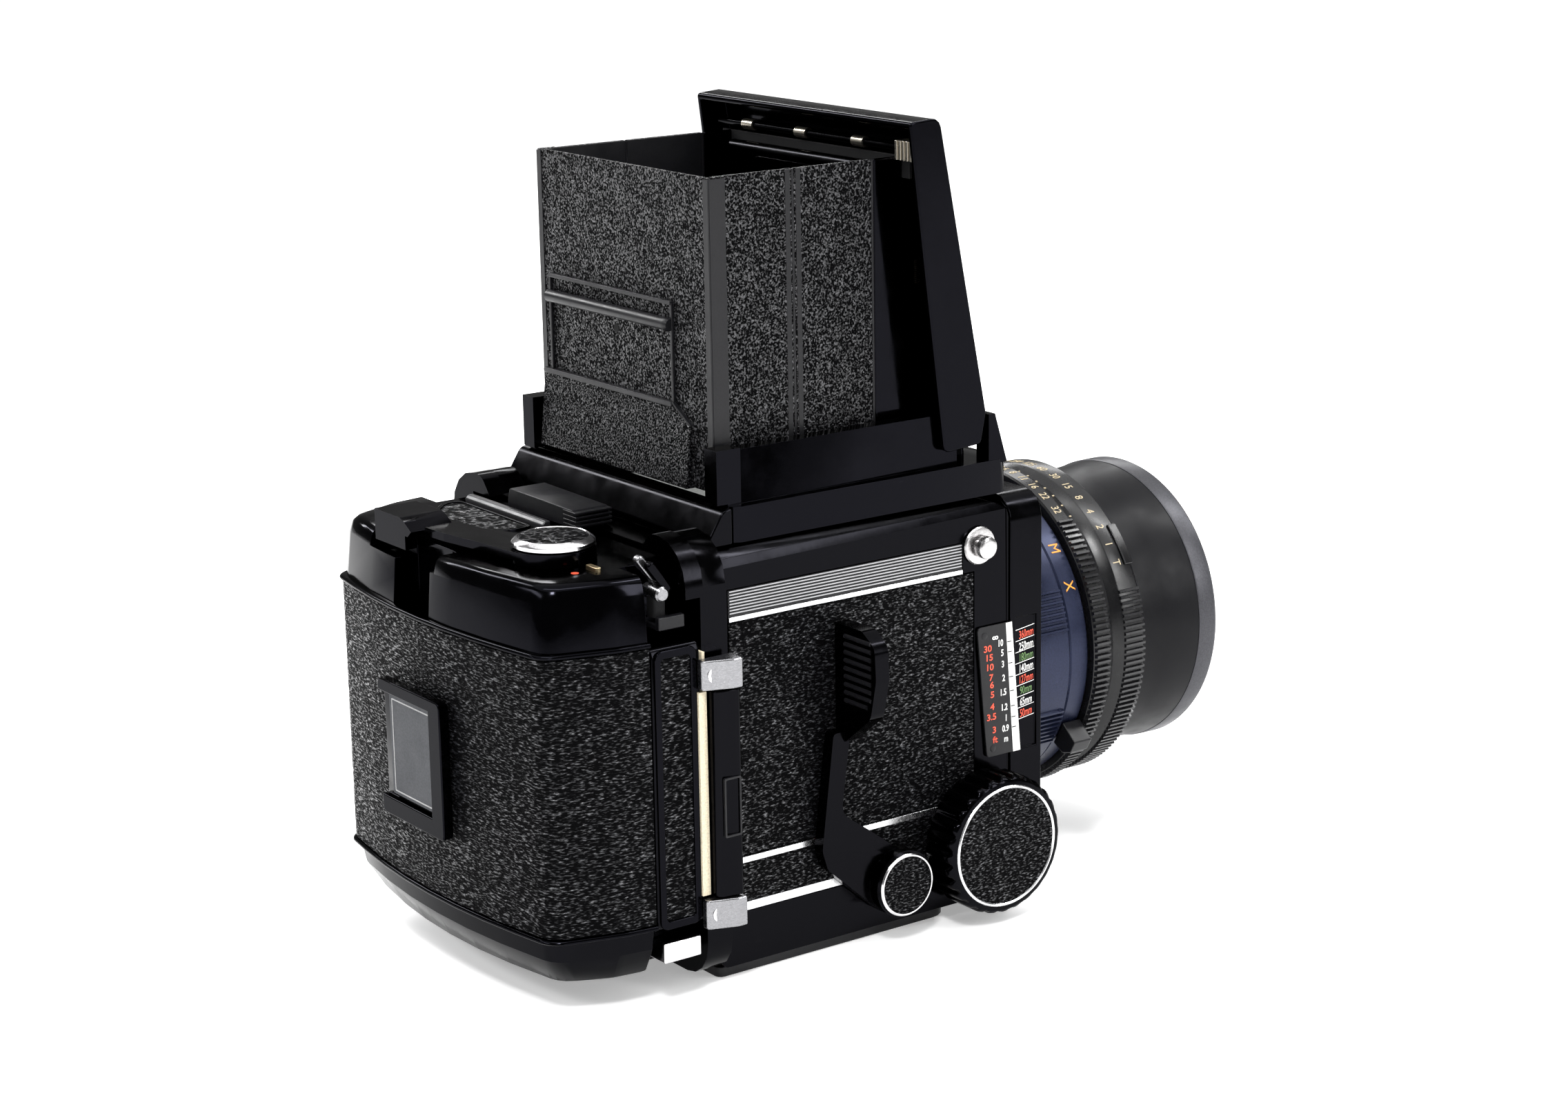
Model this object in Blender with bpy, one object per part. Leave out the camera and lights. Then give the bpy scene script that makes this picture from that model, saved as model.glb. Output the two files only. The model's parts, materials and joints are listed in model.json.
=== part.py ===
"""Medium-format reflex camera with a folding waist-level hood, bellows focusing and a revolving film back.

The frame: the lens looks along -Y, +Z is up and the photographer's right-hand side is -X.
The origin is the middle of the base plate's underside. Sizes here are in millimetres; MM turns them into metres.
"""

import math

import bmesh
import bpy
from mathutils import Vector

MM = 0.001
GAP = 0.3                                   # between pieces that rest on each other

# Body
SIDE = 52.0                                 # half width
BODY_FRONT, BODY_REAR = -59.6, 38.0
BODY_BOTTOM, BODY_TOP = 3.3, 117.3
TOE_FRONT, TOE_TOP = -71.6, 20.5
AXIS_Z = 63.2                               # height of the lens axis, on which the back turns too
POCKET = 1.0                                # depth of the recess that holds each side's covering
LEATHER_FRONT, LEATHER_REAR, LEATHER_TOP = -47.6, 34.2, 97.8
PLATE_FRONT, PLATE_TOP = -43.6, 106.5
TRIPOD_Y = -14.0
TRIM_BOTTOM, TRIM_TOP = 18.2, 33.2

# Focusing
STANDARD_FRONT, STANDARD_BACK = -71.6, -60.3
STANDARD_BOTTOM, STANDARD_TOP = 21.0, 116.5
KNOB_Y, KNOB_Z, KNOB_R, KNOB_THICK = -47.0, 23.0, 19.7, 12.0
PINION_R = 6.2
RACK_BOTTOM, RACK_TOP, RACK_IN, RACK_OUT = 29.5, 33.0, 41.0, 45.5

# Hood
WING_Y, FOLD_Y, CORNER_Y = -23.2, 2.6, 28.4  # hinge lines of the side leaves, front to rear
LEAF_IN, LEAF_OUT = 38.6, 39.8
HOOD_BOTTOM, HOOD_TOP = 129.5, 211.0
LID_HALF = 49.2
MAGNIFIER_Y, MAGNIFIER_Z, MAGNIFIER_LEAN = -30.0, 207.0, -10.5

# Reflex mirror
MIRROR_Y, MIRROR_Z, MIRROR_LONG, MIRROR_HALF = 29.0, 104.0, 76.0, 36.0

# Levers and button
COCK_Y, COCK_Z = -16.5, 17.2
BUTTON_X, BUTTON_Z = -43.0, 13.5
STUD_Y, STUD_Z = -48.8, 105.0

# Film back
ADAPTER_FRONT, ADAPTER_REAR = 38.8, 46.6
HOLDER_FRONT, HOLDER_MID, HOLDER_REAR = 48.1, 63.1, 96.0
HOLDER_HALF = 59.4
SHELL_BOTTOM, SHELL_TOP = 24.0, 97.7
CAP_BOTTOM, CAP_TOP = 8.7, 116.0
DOOR_X, DOOR_Y = 59.7, 63.0
ADVANCE_X, ADVANCE_Y = -28.0, 71.0
SPOOL_X, SPOOL_Y = 38.0, 75.0

PALETTE = {                                 # colour, roughness, metallic
    "black_enamel": ((0.012, 0.012, 0.014), 0.18, 0.0),
    "satin_black": ((0.02, 0.02, 0.022), 0.45, 0.0),
    "leatherette": ((0.022, 0.022, 0.023), 0.55, 0.0),
    "crackle_paint": ((0.05, 0.05, 0.055), 0.7, 0.0),
    "anodised_blue": ((0.03, 0.035, 0.07), 0.35, 0.6),
    "chrome": ((0.8, 0.8, 0.82), 0.15, 1.0),
    "brushed_silver": ((0.6, 0.6, 0.62), 0.35, 1.0),
    "brass": ((0.7, 0.55, 0.3), 0.35, 1.0),
    "glass": ((0.6, 0.65, 0.7), 0.03, 0.0),
    "ground_glass": ((0.75, 0.76, 0.75), 0.6, 0.0),
    "mirror": ((0.9, 0.9, 0.92), 0.03, 1.0),
    "bellows_cloth": ((0.015, 0.015, 0.016), 0.8, 0.0),
    "card": ((0.35, 0.36, 0.36), 0.4, 0.0),
    "cream_paint": ((0.75, 0.68, 0.52), 0.5, 0.0),
}


# ---- building blocks -------------------------------------------------------------------------

def material(slot):
    """The Principled material of a palette entry, made once."""
    found = bpy.data.materials.get(slot)
    if found:
        return found
    made = bpy.data.materials.new(slot)
    made.use_nodes = True
    colour, roughness, metallic = PALETTE[slot]
    shader = made.node_tree.nodes["Principled BSDF"]
    shader.inputs["Base Color"].default_value = (*colour, 1)
    shader.inputs["Roughness"].default_value = roughness
    shader.inputs["Metallic"].default_value = metallic
    made.diffuse_color = (*colour, 1)
    return made


def finish(bm, name, slot, parent=None):
    """An object from a mesh in millimetres, whose origin is its parent's pivot."""
    pivot = parent.matrix_world.translation.copy() if parent else Vector()
    bmesh.ops.recalc_face_normals(bm, faces=bm.faces)
    for vertex in bm.verts:
        vertex.co = vertex.co * MM - pivot
    mesh = bpy.data.meshes.new(name)
    bm.to_mesh(mesh)
    bm.free()
    mesh.materials.append(material(slot))
    mesh.shade_smooth()
    mesh.set_sharp_from_angle(angle=math.radians(35))
    obj = bpy.data.objects.new(name, mesh)
    bpy.context.scene.collection.objects.link(obj)
    obj.parent = parent
    return obj


def pivot(name, x, y, z, parent=None):
    """An empty on a joint's axis, which carries the pieces of one moving body."""
    empty = bpy.data.objects.new(name, None)
    bpy.context.scene.collection.objects.link(empty)
    here = Vector((x, y, z)) * MM
    empty.parent = parent
    empty.location = here - (parent.matrix_world.translation if parent else Vector())
    bpy.context.view_layer.update()
    return empty


def spot(axis, along, u, v):
    """A point from its place along an axis and its two other coordinates, in X, Y, Z order."""
    return {"X": (along, u, v), "Y": (u, along, v), "Z": (u, v, along)}[axis]


def loft(loops, closed=False):
    """A mesh through loops of equally many points: capped at its ends, or closed on itself."""
    bm = bmesh.new()
    rows = [[bm.verts.new(point) for point in loop] for loop in loops]
    if not closed:
        bm.faces.new(rows[0])
        bm.faces.new(rows[-1])
    count = len(rows[0])
    for i in range(len(rows) if closed else len(rows) - 1):
        here, there = rows[i], rows[(i + 1) % len(rows)]
        for k in range(count):
            following = (k + 1) % count
            bm.faces.new((here[k], here[following], there[following], there[k]))
    return bm


def prism(outline, axis, low, high):
    """An outline pushed along an axis."""
    return loft([[spot(axis, end, u, v) for u, v in outline] for end in (low, high)])


def box(x0, x1, y0, y1, z0, z1):
    return prism([(x0, y0), (x1, y0), (x1, y1), (x0, y1)], "Z", z0, z1)


def turned(profile, axis, u, v, steps=40):
    """A body of revolution from a closed profile of (place along the axis, radius)."""
    bm = bmesh.new()
    rows = []
    for along, radius in profile:
        turns = [2 * math.pi * k / steps for k in range(steps if radius else 1)]
        rows.append([bm.verts.new(spot(axis, along, u + radius * math.cos(t), v + radius * math.sin(t)))
                     for t in turns])
    for i, row in enumerate(rows):
        after = rows[(i + 1) % len(rows)]
        if len(row) == len(after) == 1:
            continue
        for k in range(steps):
            corners = (row[k % len(row)], row[(k + 1) % len(row)],
                       after[(k + 1) % len(after)], after[k % len(after)])
            bm.faces.new(dict.fromkeys(corners))
    return bm


def disc(axis, low, high, u, v, radius, steps=32):
    return turned([(low, 0), (low, radius), (high, radius), (high, 0)], axis, u, v, steps)


def rounded(corners, steps=4):
    """The outline of a polygon of (u, v, radius) corners, each rounded by an arc."""
    outline = []
    for i, (u, v, radius) in enumerate(corners):
        here = Vector((u, v))
        if not radius:
            outline.append((u, v))
            continue
        before = (Vector(corners[i - 1][:2]) - here).normalized()
        after = (Vector(corners[(i + 1) % len(corners)][:2]) - here).normalized()
        half = before.angle(after) / 2
        centre = here + (before + after).normalized() * radius / math.sin(half)
        start = here + before * radius / math.tan(half) - centre
        end = here + after * radius / math.tan(half) - centre
        turn = math.atan2(start.x * end.y - start.y * end.x, start.dot(end))
        first = math.atan2(start.y, start.x)
        for k in range(steps + 1):
            angle = first + turn * k / steps
            outline.append((centre.x + radius * math.cos(angle), centre.y + radius * math.sin(angle)))
    return outline


def rounded_box(u0, u1, v0, v1, radius, steps=4):
    return rounded([(u0, v0, radius), (u1, v0, radius), (u1, v1, radius), (u0, v1, radius)], steps)


def join(obj, operation, bm):
    """Cuts a shape out of an object, or unites it with the object."""
    shape = finish(bm, obj.name + "_cutter", "satin_black")
    shape.hide_render = True
    shape.display_type = "WIRE"
    change = obj.modifiers.new(operation.lower(), "BOOLEAN")
    change.operation = operation
    change.solver = "EXACT"
    change.object = shape


def cut(obj, *shapes):
    for bm in shapes:
        join(obj, "DIFFERENCE", bm)


def add(obj, *shapes):
    for bm in shapes:
        join(obj, "UNION", bm)


def mirrored(x0, x1, side):
    """An interval across X on the given side, low end first."""
    return sorted((side * x0, side * x1))


# ---- body ------------------------------------------------------------------------------------

def body_shell():
    profile = rounded([(BODY_REAR, BODY_BOTTOM, 2), (BODY_REAR, BODY_TOP, 0), (BODY_FRONT, BODY_TOP, 6),
                       (BODY_FRONT, TOE_TOP, 0), (TOE_FRONT, TOE_TOP, 2), (TOE_FRONT, 9, 5),
                       (-50, BODY_BOTTOM, 6)], 3)
    bm = prism(profile, "X", -SIDE, SIDE)
    top_edges = [e for e in bm.edges
                 if all(abs(abs(v.co.x) - SIDE) < 0.01 and v.co.z > BODY_TOP - 0.01 for v in e.verts)]
    bmesh.ops.bevel(bm, geom=top_edges, offset=5, segments=3, affect="EDGES", profile=0.5)
    shell = finish(bm, "body_shell", "black_enamel")
    cut(shell,
        box(-46, 46, -56, 34, 14, 112),                      # mirror box
        box(-46, 46, -90, -50, TOE_TOP + 0.7, 112),          # mouth behind the front standard
        box(-37, 37, 30, 50, AXIS_Z - 37, AXIS_Z + 37),      # film gate
        box(-36, 36, -45, 27, 108, 130),                     # light shaft to the screen
        box(-40, 40, -49, 31, 114.5, 130),                   # screen seat
        disc("X", -70, 70, KNOB_Y, KNOB_Z, 3.6, 20),         # pinion shaft's bearings
        disc("X", -60, -48, COCK_Y, COCK_Z, 3.0, 20),        # cocking shaft's bearing
        disc("Y", -90, -64, BUTTON_X, BUTTON_Z, 5.0, 24))    # shutter button's bore
    for side in (-1, 1):
        x0, x1 = mirrored(SIDE - POCKET, SIDE + 9, side)
        cut(shell, box(x0, x1, LEATHER_FRONT, LEATHER_REAR, TRIM_BOTTOM - 0.4, LEATHER_TOP),
            box(x0, x1, PLATE_FRONT, LEATHER_REAR, LEATHER_TOP - 5, PLATE_TOP))
    return shell


def side_pieces(side, word):
    """Covering, nameplate, trim and strap stud of one side of the body."""
    base = SIDE - POCKET + GAP
    x0, x1 = mirrored(base, SIDE, side)
    front, rear = LEATHER_FRONT + GAP, LEATHER_REAR - GAP
    finish(box(x0, x1, front, rear, TRIM_TOP + GAP, LEATHER_TOP - GAP), word + "_covering", "leatherette")
    x0, x1 = mirrored(base, SIDE + 0.2, side)
    finish(box(x0, x1, PLATE_FRONT + GAP, rear, LEATHER_TOP, PLATE_TOP - GAP), word + "_nameplate", "brushed_silver")
    x0, x1 = mirrored(base, SIDE - 0.1, side)
    trim = finish(box(x0, x1, front, rear, TRIM_BOTTOM, TRIM_TOP), word + "_trim", "brushed_silver")
    x0, x1 = mirrored(SIDE - 0.4, SIDE + 0.4, side)
    add(trim, box(x0, x1, front, rear, TRIM_BOTTOM, TRIM_BOTTOM + 3.4),
        box(x0, x1, front, rear, TRIM_TOP - 3.2, TRIM_TOP))
    holes = [disc("X", *mirrored(SIDE - 4, SIDE + 4, side), KNOB_Y, KNOB_Z, 4.2, 20)]
    if side < 0:
        holes.append(disc("X", -SIDE - 4, -SIDE + 4, COCK_Y, COCK_Z, 3.6, 20))
    cut(trim, *holes)
    out = side * (SIDE + GAP)
    stud = [(out, 0), (out, 5.7), (out + side, 5.4), (out + side, 2.4), (out + 4.4 * side, 2.4),
            (out + 4.8 * side, 4.2), (out + 6.6 * side, 4.2), (out + 7.4 * side, 3.2), (out + 7.4 * side, 0)]
    finish(turned(stud, "X", STUD_Y, STUD_Z, 28), word + "_strap_stud", "chrome")


def body():
    body_shell()
    base = finish(prism(rounded([(-50, 38, 2), (50, 38, 2), (50, -38, 6), (44, -41, 3), (-44, -41, 3),
                                 (-50, -38, 6)], 3), "Z", 0, 3), "base_plate", "satin_black")
    cut(base, disc("Z", -5, 8, 0, TRIPOD_Y, 9))
    bush = [(0.2, 3.2), (0.2, 8.6), (2.9, 8.6), (2.9, 3.2)]
    finish(turned(bush, "Z", 0, TRIPOD_Y, 32), "tripod_bush", "chrome")
    for side, word in ((-1, "right"), (1, "left")):
        side_pieces(side, word)
    finish(prism(rounded([(-47.9, 81.7, 1), (-60.1, 81.7, 0.5), (-63.3, 44.0, 0.5), (-51.3, 43.9, 1)], 2),
                 "X", -SIDE - 0.9, -SIDE - GAP), "scale_plate", "satin_black")
    finish(box(-39.6, 39.6, -48.6, 30.6, 114.8, 116.8), "focusing_screen", "ground_glass")
    ridge = rounded([(30.6, BODY_TOP + GAP, 0), (38.2, BODY_TOP + GAP, 0), (38.2, 119.5, 1.5),
                     (33.5, 126.8, 3), (30.6, 127.2, 0)], 3)
    finish(prism(ridge, "X", -50, 50), "rear_top_cover", "black_enamel")


# ---- finder and hood -------------------------------------------------------------------------

def finder_base():
    bottom, step, top = BODY_TOP + GAP, 127.1, 141.4
    base = finish(prism(rounded_box(-49.5, 49.5, -61.5, 30.3, 3, 2), "Z", bottom, step),
                  "finder_base", "black_enamel")
    cut(base, box(-38, 38, -50, 28, 110, 135))
    for side in (-1, 1):
        wall = mirrored(42, 46.5, side)
        rear_post = mirrored(42, 47.5, side)
        front_post = mirrored(44, 49.4, side)
        add(base, box(*wall, -46, 28, step - 1, top),
            box(*rear_post, 26, 30.2, step - 1, step + 2),
            box(*rear_post, 26, 33.5, 127.7, top + 0.6),
            prism([(-61.2, step - 1), (-57, 140), (-54.8, 140), (-54.8, step - 1)], "X", *front_post))


def hood_lid():
    """The lid standing open, with the fixed wings that carry the side leaves."""
    outline = rounded([(-28.5, 220.8, 1), (-38.5, 221.5, 3), (-54.2, 140.4, 3), (-52.4, 132.2, 1.5),
                       (-39.7, 131.2, 2)], 3)
    lid = finish(prism(outline, "X", -LID_HALF, LID_HALF), "hood_lid", "black_enamel")
    hollow = [(-10, 219), (-36.9, 219), (-52.1, 140.4), (-50, 120), (-10, 120)]
    cut(lid, prism(hollow, "X", -LID_HALF + 1.6, LID_HALF - 1.6))
    for side in (-1, 1):
        wing = [(WING_Y - 0.4, HOOD_BOTTOM), (WING_Y - 0.4, HOOD_TOP), (-39.2, HOOD_TOP),
                (-52.6, 141), (-51.6, 133.5), (-44, HOOD_BOTTOM)]
        add(lid, prism(wing, "X", *mirrored(LEAF_IN, LEAF_OUT, side)))


def hood_leaves():
    """Two folding leaves on each side and the rear panel that they carry."""
    inner, outer = LEAF_IN - 0.1, LEAF_OUT + 0.1
    for side, word in ((-1, "right"), (1, "left")):
        x0, x1 = mirrored(LEAF_IN, LEAF_OUT, side)
        front = pivot(word + "_front_leaf_pivot", side * inner, WING_Y, HOOD_BOTTOM)
        middle = pivot(word + "_rear_leaf_pivot", side * outer, FOLD_Y, HOOD_BOTTOM, front)
        finish(box(x0, x1, WING_Y + GAP, FOLD_Y - GAP, HOOD_BOTTOM, HOOD_TOP),
               word + "_front_leaf", "crackle_paint", front)
        finish(box(x0, x1, FOLD_Y + GAP, CORNER_Y - GAP, HOOD_BOTTOM, HOOD_TOP),
               word + "_rear_leaf", "crackle_paint", middle)
        if side < 0:
            corner = pivot("rear_panel_pivot", side * inner, CORNER_Y, HOOD_BOTTOM, middle)
    half, near, far = 40.9, CORNER_Y + GAP, CORNER_Y + 1.5
    channel = [(-half, 24.5), (-half, far), (half, far), (half, 24.5), (half - 0.8, 24.5),
               (half - 0.8, near), (-half + 0.8, near), (-half + 0.8, 24.5)]
    low, flap_top = HOOD_BOTTOM - GAP, 150.4
    panel = finish(prism(channel, "Z", low, HOOD_TOP), "hood_rear_panel", "crackle_paint", corner)
    flap = [(-32, low), (40, low), (40, flap_top), (-24, flap_top), (-32, flap_top - 4.4)]
    add(panel, loft([[(x, far - 0.5, z) for x, z in flap],
                     [(x, far + 0.5 + 0.1 * (flap_top - z), z) for x, z in flap]]),
        box(-23, 35.7, far - 0.5, far + 1.3, 170.2, 172.4))


def magnifier():
    """Swing-out magnifier, hanging stowed along the inside of the lid."""
    hinge = pivot("magnifier_pivot", 0, MAGNIFIER_Y, MAGNIFIER_Z)
    y, z = MAGNIFIER_Y, MAGNIFIER_Z
    frame = finish(prism(rounded_box(-27, 27, z - 47, z - 1, 8), "Y", y - 2, y + 2),
                   "magnifier_frame", "black_enamel", hinge)
    add(frame, disc("X", -33, 33, y, z, 2.2, 16))
    cut(frame, disc("Y", y - 9, y + 9, 0, z - 24, 16, 32))
    lens = [(y - 2.6, 0), (y - 0.8, 15.7), (y + 0.8, 15.7), (y + 2.6, 0)]
    finish(turned(lens, "Y", 0, z - 24, 32), "magnifier_lens", "glass", hinge)
    hinge.rotation_euler.x = math.radians(MAGNIFIER_LEAN)


def reflex_mirror():
    hinge = pivot("mirror_pivot", 0, MIRROR_Y, MIRROR_Z)
    finish(box(-MIRROR_HALF, MIRROR_HALF, MIRROR_Y - 1.5, MIRROR_Y + 1.5, MIRROR_Z - MIRROR_LONG, MIRROR_Z + 1),
           "reflex_mirror", "mirror", hinge)
    hinge.rotation_euler.x = math.radians(-45)


# ---- front: focusing and lens ----------------------------------------------------------------

def front_standard():
    """Front frame, racks and bellows, which slide forward to focus. Returns their pivot."""
    slide = pivot("focus_slide", 0, STANDARD_FRONT, AXIS_Z)
    outline = rounded([(-SIDE, STANDARD_BOTTOM, 2), (SIDE, STANDARD_BOTTOM, 2), (SIDE, STANDARD_TOP, 7),
                       (-SIDE, STANDARD_TOP, 7)], 4)
    frame = finish(prism(outline, "Y", STANDARD_FRONT, STANDARD_BACK), "front_standard", "black_enamel", slide)
    cut(frame, disc("Y", -90, -40, 0, AXIS_Z, 41, 48), box(-SIDE - 5, -SIDE + 0.7, -69.8, -62.4, 44, 82))
    for side, word in ((-1, "right"), (1, "left")):
        finish(box(*mirrored(RACK_IN, RACK_OUT, side), STANDARD_BACK + GAP, 3, RACK_BOTTOM, RACK_TOP),
               word + "_focus_rack", "brushed_silver", slide)
    front, back, pleats = STANDARD_BACK + GAP, -51.0, 5
    rings = []
    for k in range(2 * pleats + 1):
        y = front + (back - front) * k / (2 * pleats)
        rings.append((y, 39.5 - 3 * (k % 2)))
    loops = [bellows_loop(y, half) for y, half in rings] + [bellows_loop(y, half - 1.6) for y, half in rings[::-1]]
    finish(loft(loops, closed=True), "bellows", "bellows_cloth", slide)
    return slide


def bellows_loop(y, half):
    return [(u, y, AXIS_Z + v) for u, v in rounded_box(-half, half, -half, half, 5, 2)]


def lens(slide):
    """The lens, with its three turning rings, on the front standard."""
    def ring(profile, name, slot, parent, steps=48):
        return finish(turned(profile, "Y", 0, AXIS_Z, steps), name, slot, parent)

    barrel = ring([(-62, 22), (-62, 40.5), (-72.2, 40.5), (-72.2, 38), (-88.3, 38), (-88.3, 45), (-95.3, 45),
                   (-95.3, 39), (-117, 39), (-117, 22)], "lens_barrel", "anodised_blue", slide)
    socket_angle = math.radians(128)
    socket_x, socket_z = 47 * math.cos(socket_angle), AXIS_Z + 47 * math.sin(socket_angle)
    add(barrel, box(socket_x - 2.5, socket_x + 2.5, -94.5, -89.5, socket_z - 5, socket_z + 2))
    ring([(-117.4, 25), (-117.4, 40.2), (-119, 38.8), (-124, 39.2), (-136, 42.2), (-147, 42.6), (-147, 41.2),
          (-140, 39.4), (-134, 32), (-128, 27), (-122, 25)], "front_cone", "satin_black", slide)
    ring([(-118, 0), (-118, 24.6), (-121.5, 24.6), (-125, 18), (-126.5, 10), (-127, 0)], "front_element", "glass",
         slide, 32)
    ring([(-64, 0), (-63, 12), (-64, 21.6), (-68, 21.6), (-68, 0)], "rear_element", "glass", slide, 32)
    ring([(-92, 15), (-92, 21.6), (-94, 21.6), (-94, 15)], "leaf_shutter", "satin_black", slide, 32)
    for name, slot, profile in (
            ("lens_lock_ring", "anodised_blue", [(-72.5, 38.4), (-72.5, 45.6), (-88, 45.6), (-88, 38.4)]),
            ("aperture_ring", "satin_black", [(-95.7, 39.4), (-95.7, 48.2), (-101, 48.2), (-104.3, 46.4),
                                              (-104.3, 39.4)]),
            ("shutter_speed_ring", "satin_black", [(-104.7, 39.4), (-104.7, 44.6), (-107.4, 46.8), (-115, 47.2),
                                                   (-116.6, 45.2), (-116.6, 40.4)])):
        turn = pivot(name + "_pivot", 0, profile[0][0], AXIS_Z, slide)
        ring(profile, name, slot, turn)
    lever_pivot = pivot("sync_lever_pivot", 0, -92, AXIS_Z, slide)
    angle = math.radians(210)
    across = Vector((-math.sin(angle), math.cos(angle)))
    out = Vector((math.cos(angle), math.sin(angle)))
    corners = [(45.4, -4), (45.4, 4), (50, 4), (52.5, 1.5), (52.5, -2.5)]
    outline = [tuple(out * r + across * t + Vector((0, AXIS_Z))) for r, t in corners]
    finish(prism(outline, "Y", -95.2, -88.6), "sync_lever", "satin_black", lever_pivot)


def focus_knobs():
    turn = pivot("focus_knob_pivot", 0, KNOB_Y, KNOB_Z)
    shaft = [(-58, 0), (-58, 3.2), (-46, 3.2), (-45.6, PINION_R), (-41, PINION_R), (-40.6, 3.2), (40.6, 3.2),
             (41, PINION_R), (45.6, PINION_R), (46, 3.2), (58, 3.2), (58, 0)]
    finish(turned(shaft, "X", KNOB_Y, KNOB_Z, 24), "pinion_shaft", "brushed_silver", turn)
    flutes, steps = 18, 4
    outline = []
    for k in range(flutes * steps):
        radius = KNOB_R - (0.9 if k % steps == 0 else 0)
        t = 2 * math.pi * k / (flutes * steps)
        outline.append((KNOB_Y + radius * math.cos(t), KNOB_Z + radius * math.sin(t)))
    for side, word in ((-1, "right"), (1, "left")):
        near, far = SIDE + 2.5, SIDE + 2.5 + KNOB_THICK
        knob = finish(prism(outline, "X", *mirrored(near, far, side)), word + "_focus_knob", "satin_black", turn)
        cut(knob, disc("X", *mirrored(near - 2, 58.3, side), KNOB_Y, KNOB_Z, 3.5, 20))


def cocking_lever():
    turn = pivot("cocking_lever_pivot", -SIDE, COCK_Y, COCK_Z)
    arm = rounded([(4.4, 63, 1), (8.5, 31, 3), (6.8, 25.4, 3), (-10.4, 10.1, 2), (-24, 14, 3), (-18.7, 24.9, 4),
                   (-7, 33.8, 3), (2, 40.2, 4), (-1.2, 63, 1)], 2)
    lever = finish(prism(arm, "X", -57, -53.2), "cocking_lever", "black_enamel", turn)
    grip = rounded([(-53.2, 60, 0), (-57, 60, 3), (-68.5, 69, 5), (-71, 80, 6), (-70.5, 89, 4), (-65, 92.4, 2),
                    (-53.2, 92.4, 0)], 3)
    add(lever, prism(grip, "Y", -3.6, 0.8), disc("X", -60.4, -53.0, COCK_Y, COCK_Z, 9.4, 32),
        disc("X", -58, -48.3, COCK_Y, COCK_Z, 2.5, 16))


def shutter_button():
    press = pivot("shutter_button_slide", BUTTON_X, -75.2, BUTTON_Z)
    finish(turned([(-68, 0), (-68, 4.6), (-74.6, 4.6), (-75.2, 3.8), (-75.0, 0)], "Y", BUTTON_X, BUTTON_Z, 24),
           "shutter_button", "chrome", press)


# ---- film back -------------------------------------------------------------------------------

def holder_plan(inset, front=HOLDER_MID):
    """The holder's outline from above: tapered ends and a rear wall with a slight bow."""
    half, waist, corner = HOLDER_HALF - inset, 58.2 - inset, 51.5 - inset
    rear, bow = HOLDER_REAR - 5.2 - inset, 5.2
    points = [(-half, front, 0), (-waist, 72, 12), (-corner - 1.2, rear, 7)]
    points += [(corner * t, rear + bow * (1 - t * t), 0) for t in (-0.6, -0.3, 0, 0.3, 0.6)]
    points += [(corner + 1.2, rear, 7), (waist, 72, 12), (half, front, 0)]
    return rounded(points, 3)


def cap(name, levels, slot, parent):
    """An end cap through (height, inset) levels of the holder's outline."""
    loops = [[(x, y, z) for x, y in holder_plan(inset)] for z, inset in levels]
    return finish(loft(loops), name, slot, parent)


def revolving_back():
    """Adapter that turns about the lens axis, with the film holder on it. Returns its pivot."""
    turn = pivot("back_pivot", 0, ADAPTER_FRONT, AXIS_Z)
    outline = rounded([(-58, 4, 10), (58, 4, 10), (58, 122.5, 12), (43, 122.5, 6), (38, 117, 4), (-38, 117, 4),
                       (-43, 122.5, 6), (-58, 122.5, 12)], 4)
    adapter = finish(prism(outline, "Y", ADAPTER_FRONT, ADAPTER_REAR), "revolving_adapter", "black_enamel", turn)
    for side in (-1, 1):
        ear = rounded([(46.6, 108, 0), (58, 108, 0), (58, 122.5, 11.9), (42, 122.5, 5), (37.6, 117.2, 0),
                       (46.6, 117.2, 0)], 4)
        add(adapter, prism([(side * u, v) for u, v in ear], "Y", ADAPTER_REAR - 1, 51))
    cut(adapter, box(-38, 38, 30, 60, AXIS_Z - 38, AXIS_Z + 38))
    frame = finish(prism(rounded_box(-HOLDER_HALF, HOLDER_HALF, SHELL_BOTTOM - 3, SHELL_TOP, 3, 2), "Y",
                         HOLDER_FRONT, HOLDER_MID - GAP), "holder_frame", "black_enamel", turn)
    cut(frame, box(-53, 53, 52, 80, 27, 95), box(-35, 35, 40, 60, AXIS_Z - 28, AXIS_Z + 28))
    top = cap("holder_top_cap", ((SHELL_TOP + GAP, 0.8), (100, 1), (111.5, 1.9), (114.5, 2.7), (115.6, 3.8),
                                    (CAP_TOP, 5.2)),
              "black_enamel", turn)
    add(top, box(-46, 46, HOLDER_FRONT, 68, SHELL_TOP + GAP, CAP_TOP))
    cut(top, box(-4, 15, 86.6, 110, 99, 120), box(-6, 31.5, 87, 110, 111.4, 120))
    bottom = cap("holder_bottom_cap", ((CAP_BOTTOM, 8), (10, 5.5), (17, 1.8), (SHELL_BOTTOM - GAP, 0.8)),
                 "black_enamel", turn)
    add(bottom, box(-46, 46, HOLDER_FRONT, 68, CAP_BOTTOM, SHELL_BOTTOM - 3 - GAP))
    finish(box(-36, 36, 53.4, 55.6, AXIS_Z - 28, AXIS_Z + 28), "pressure_plate", "satin_black", turn)
    return turn


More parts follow.
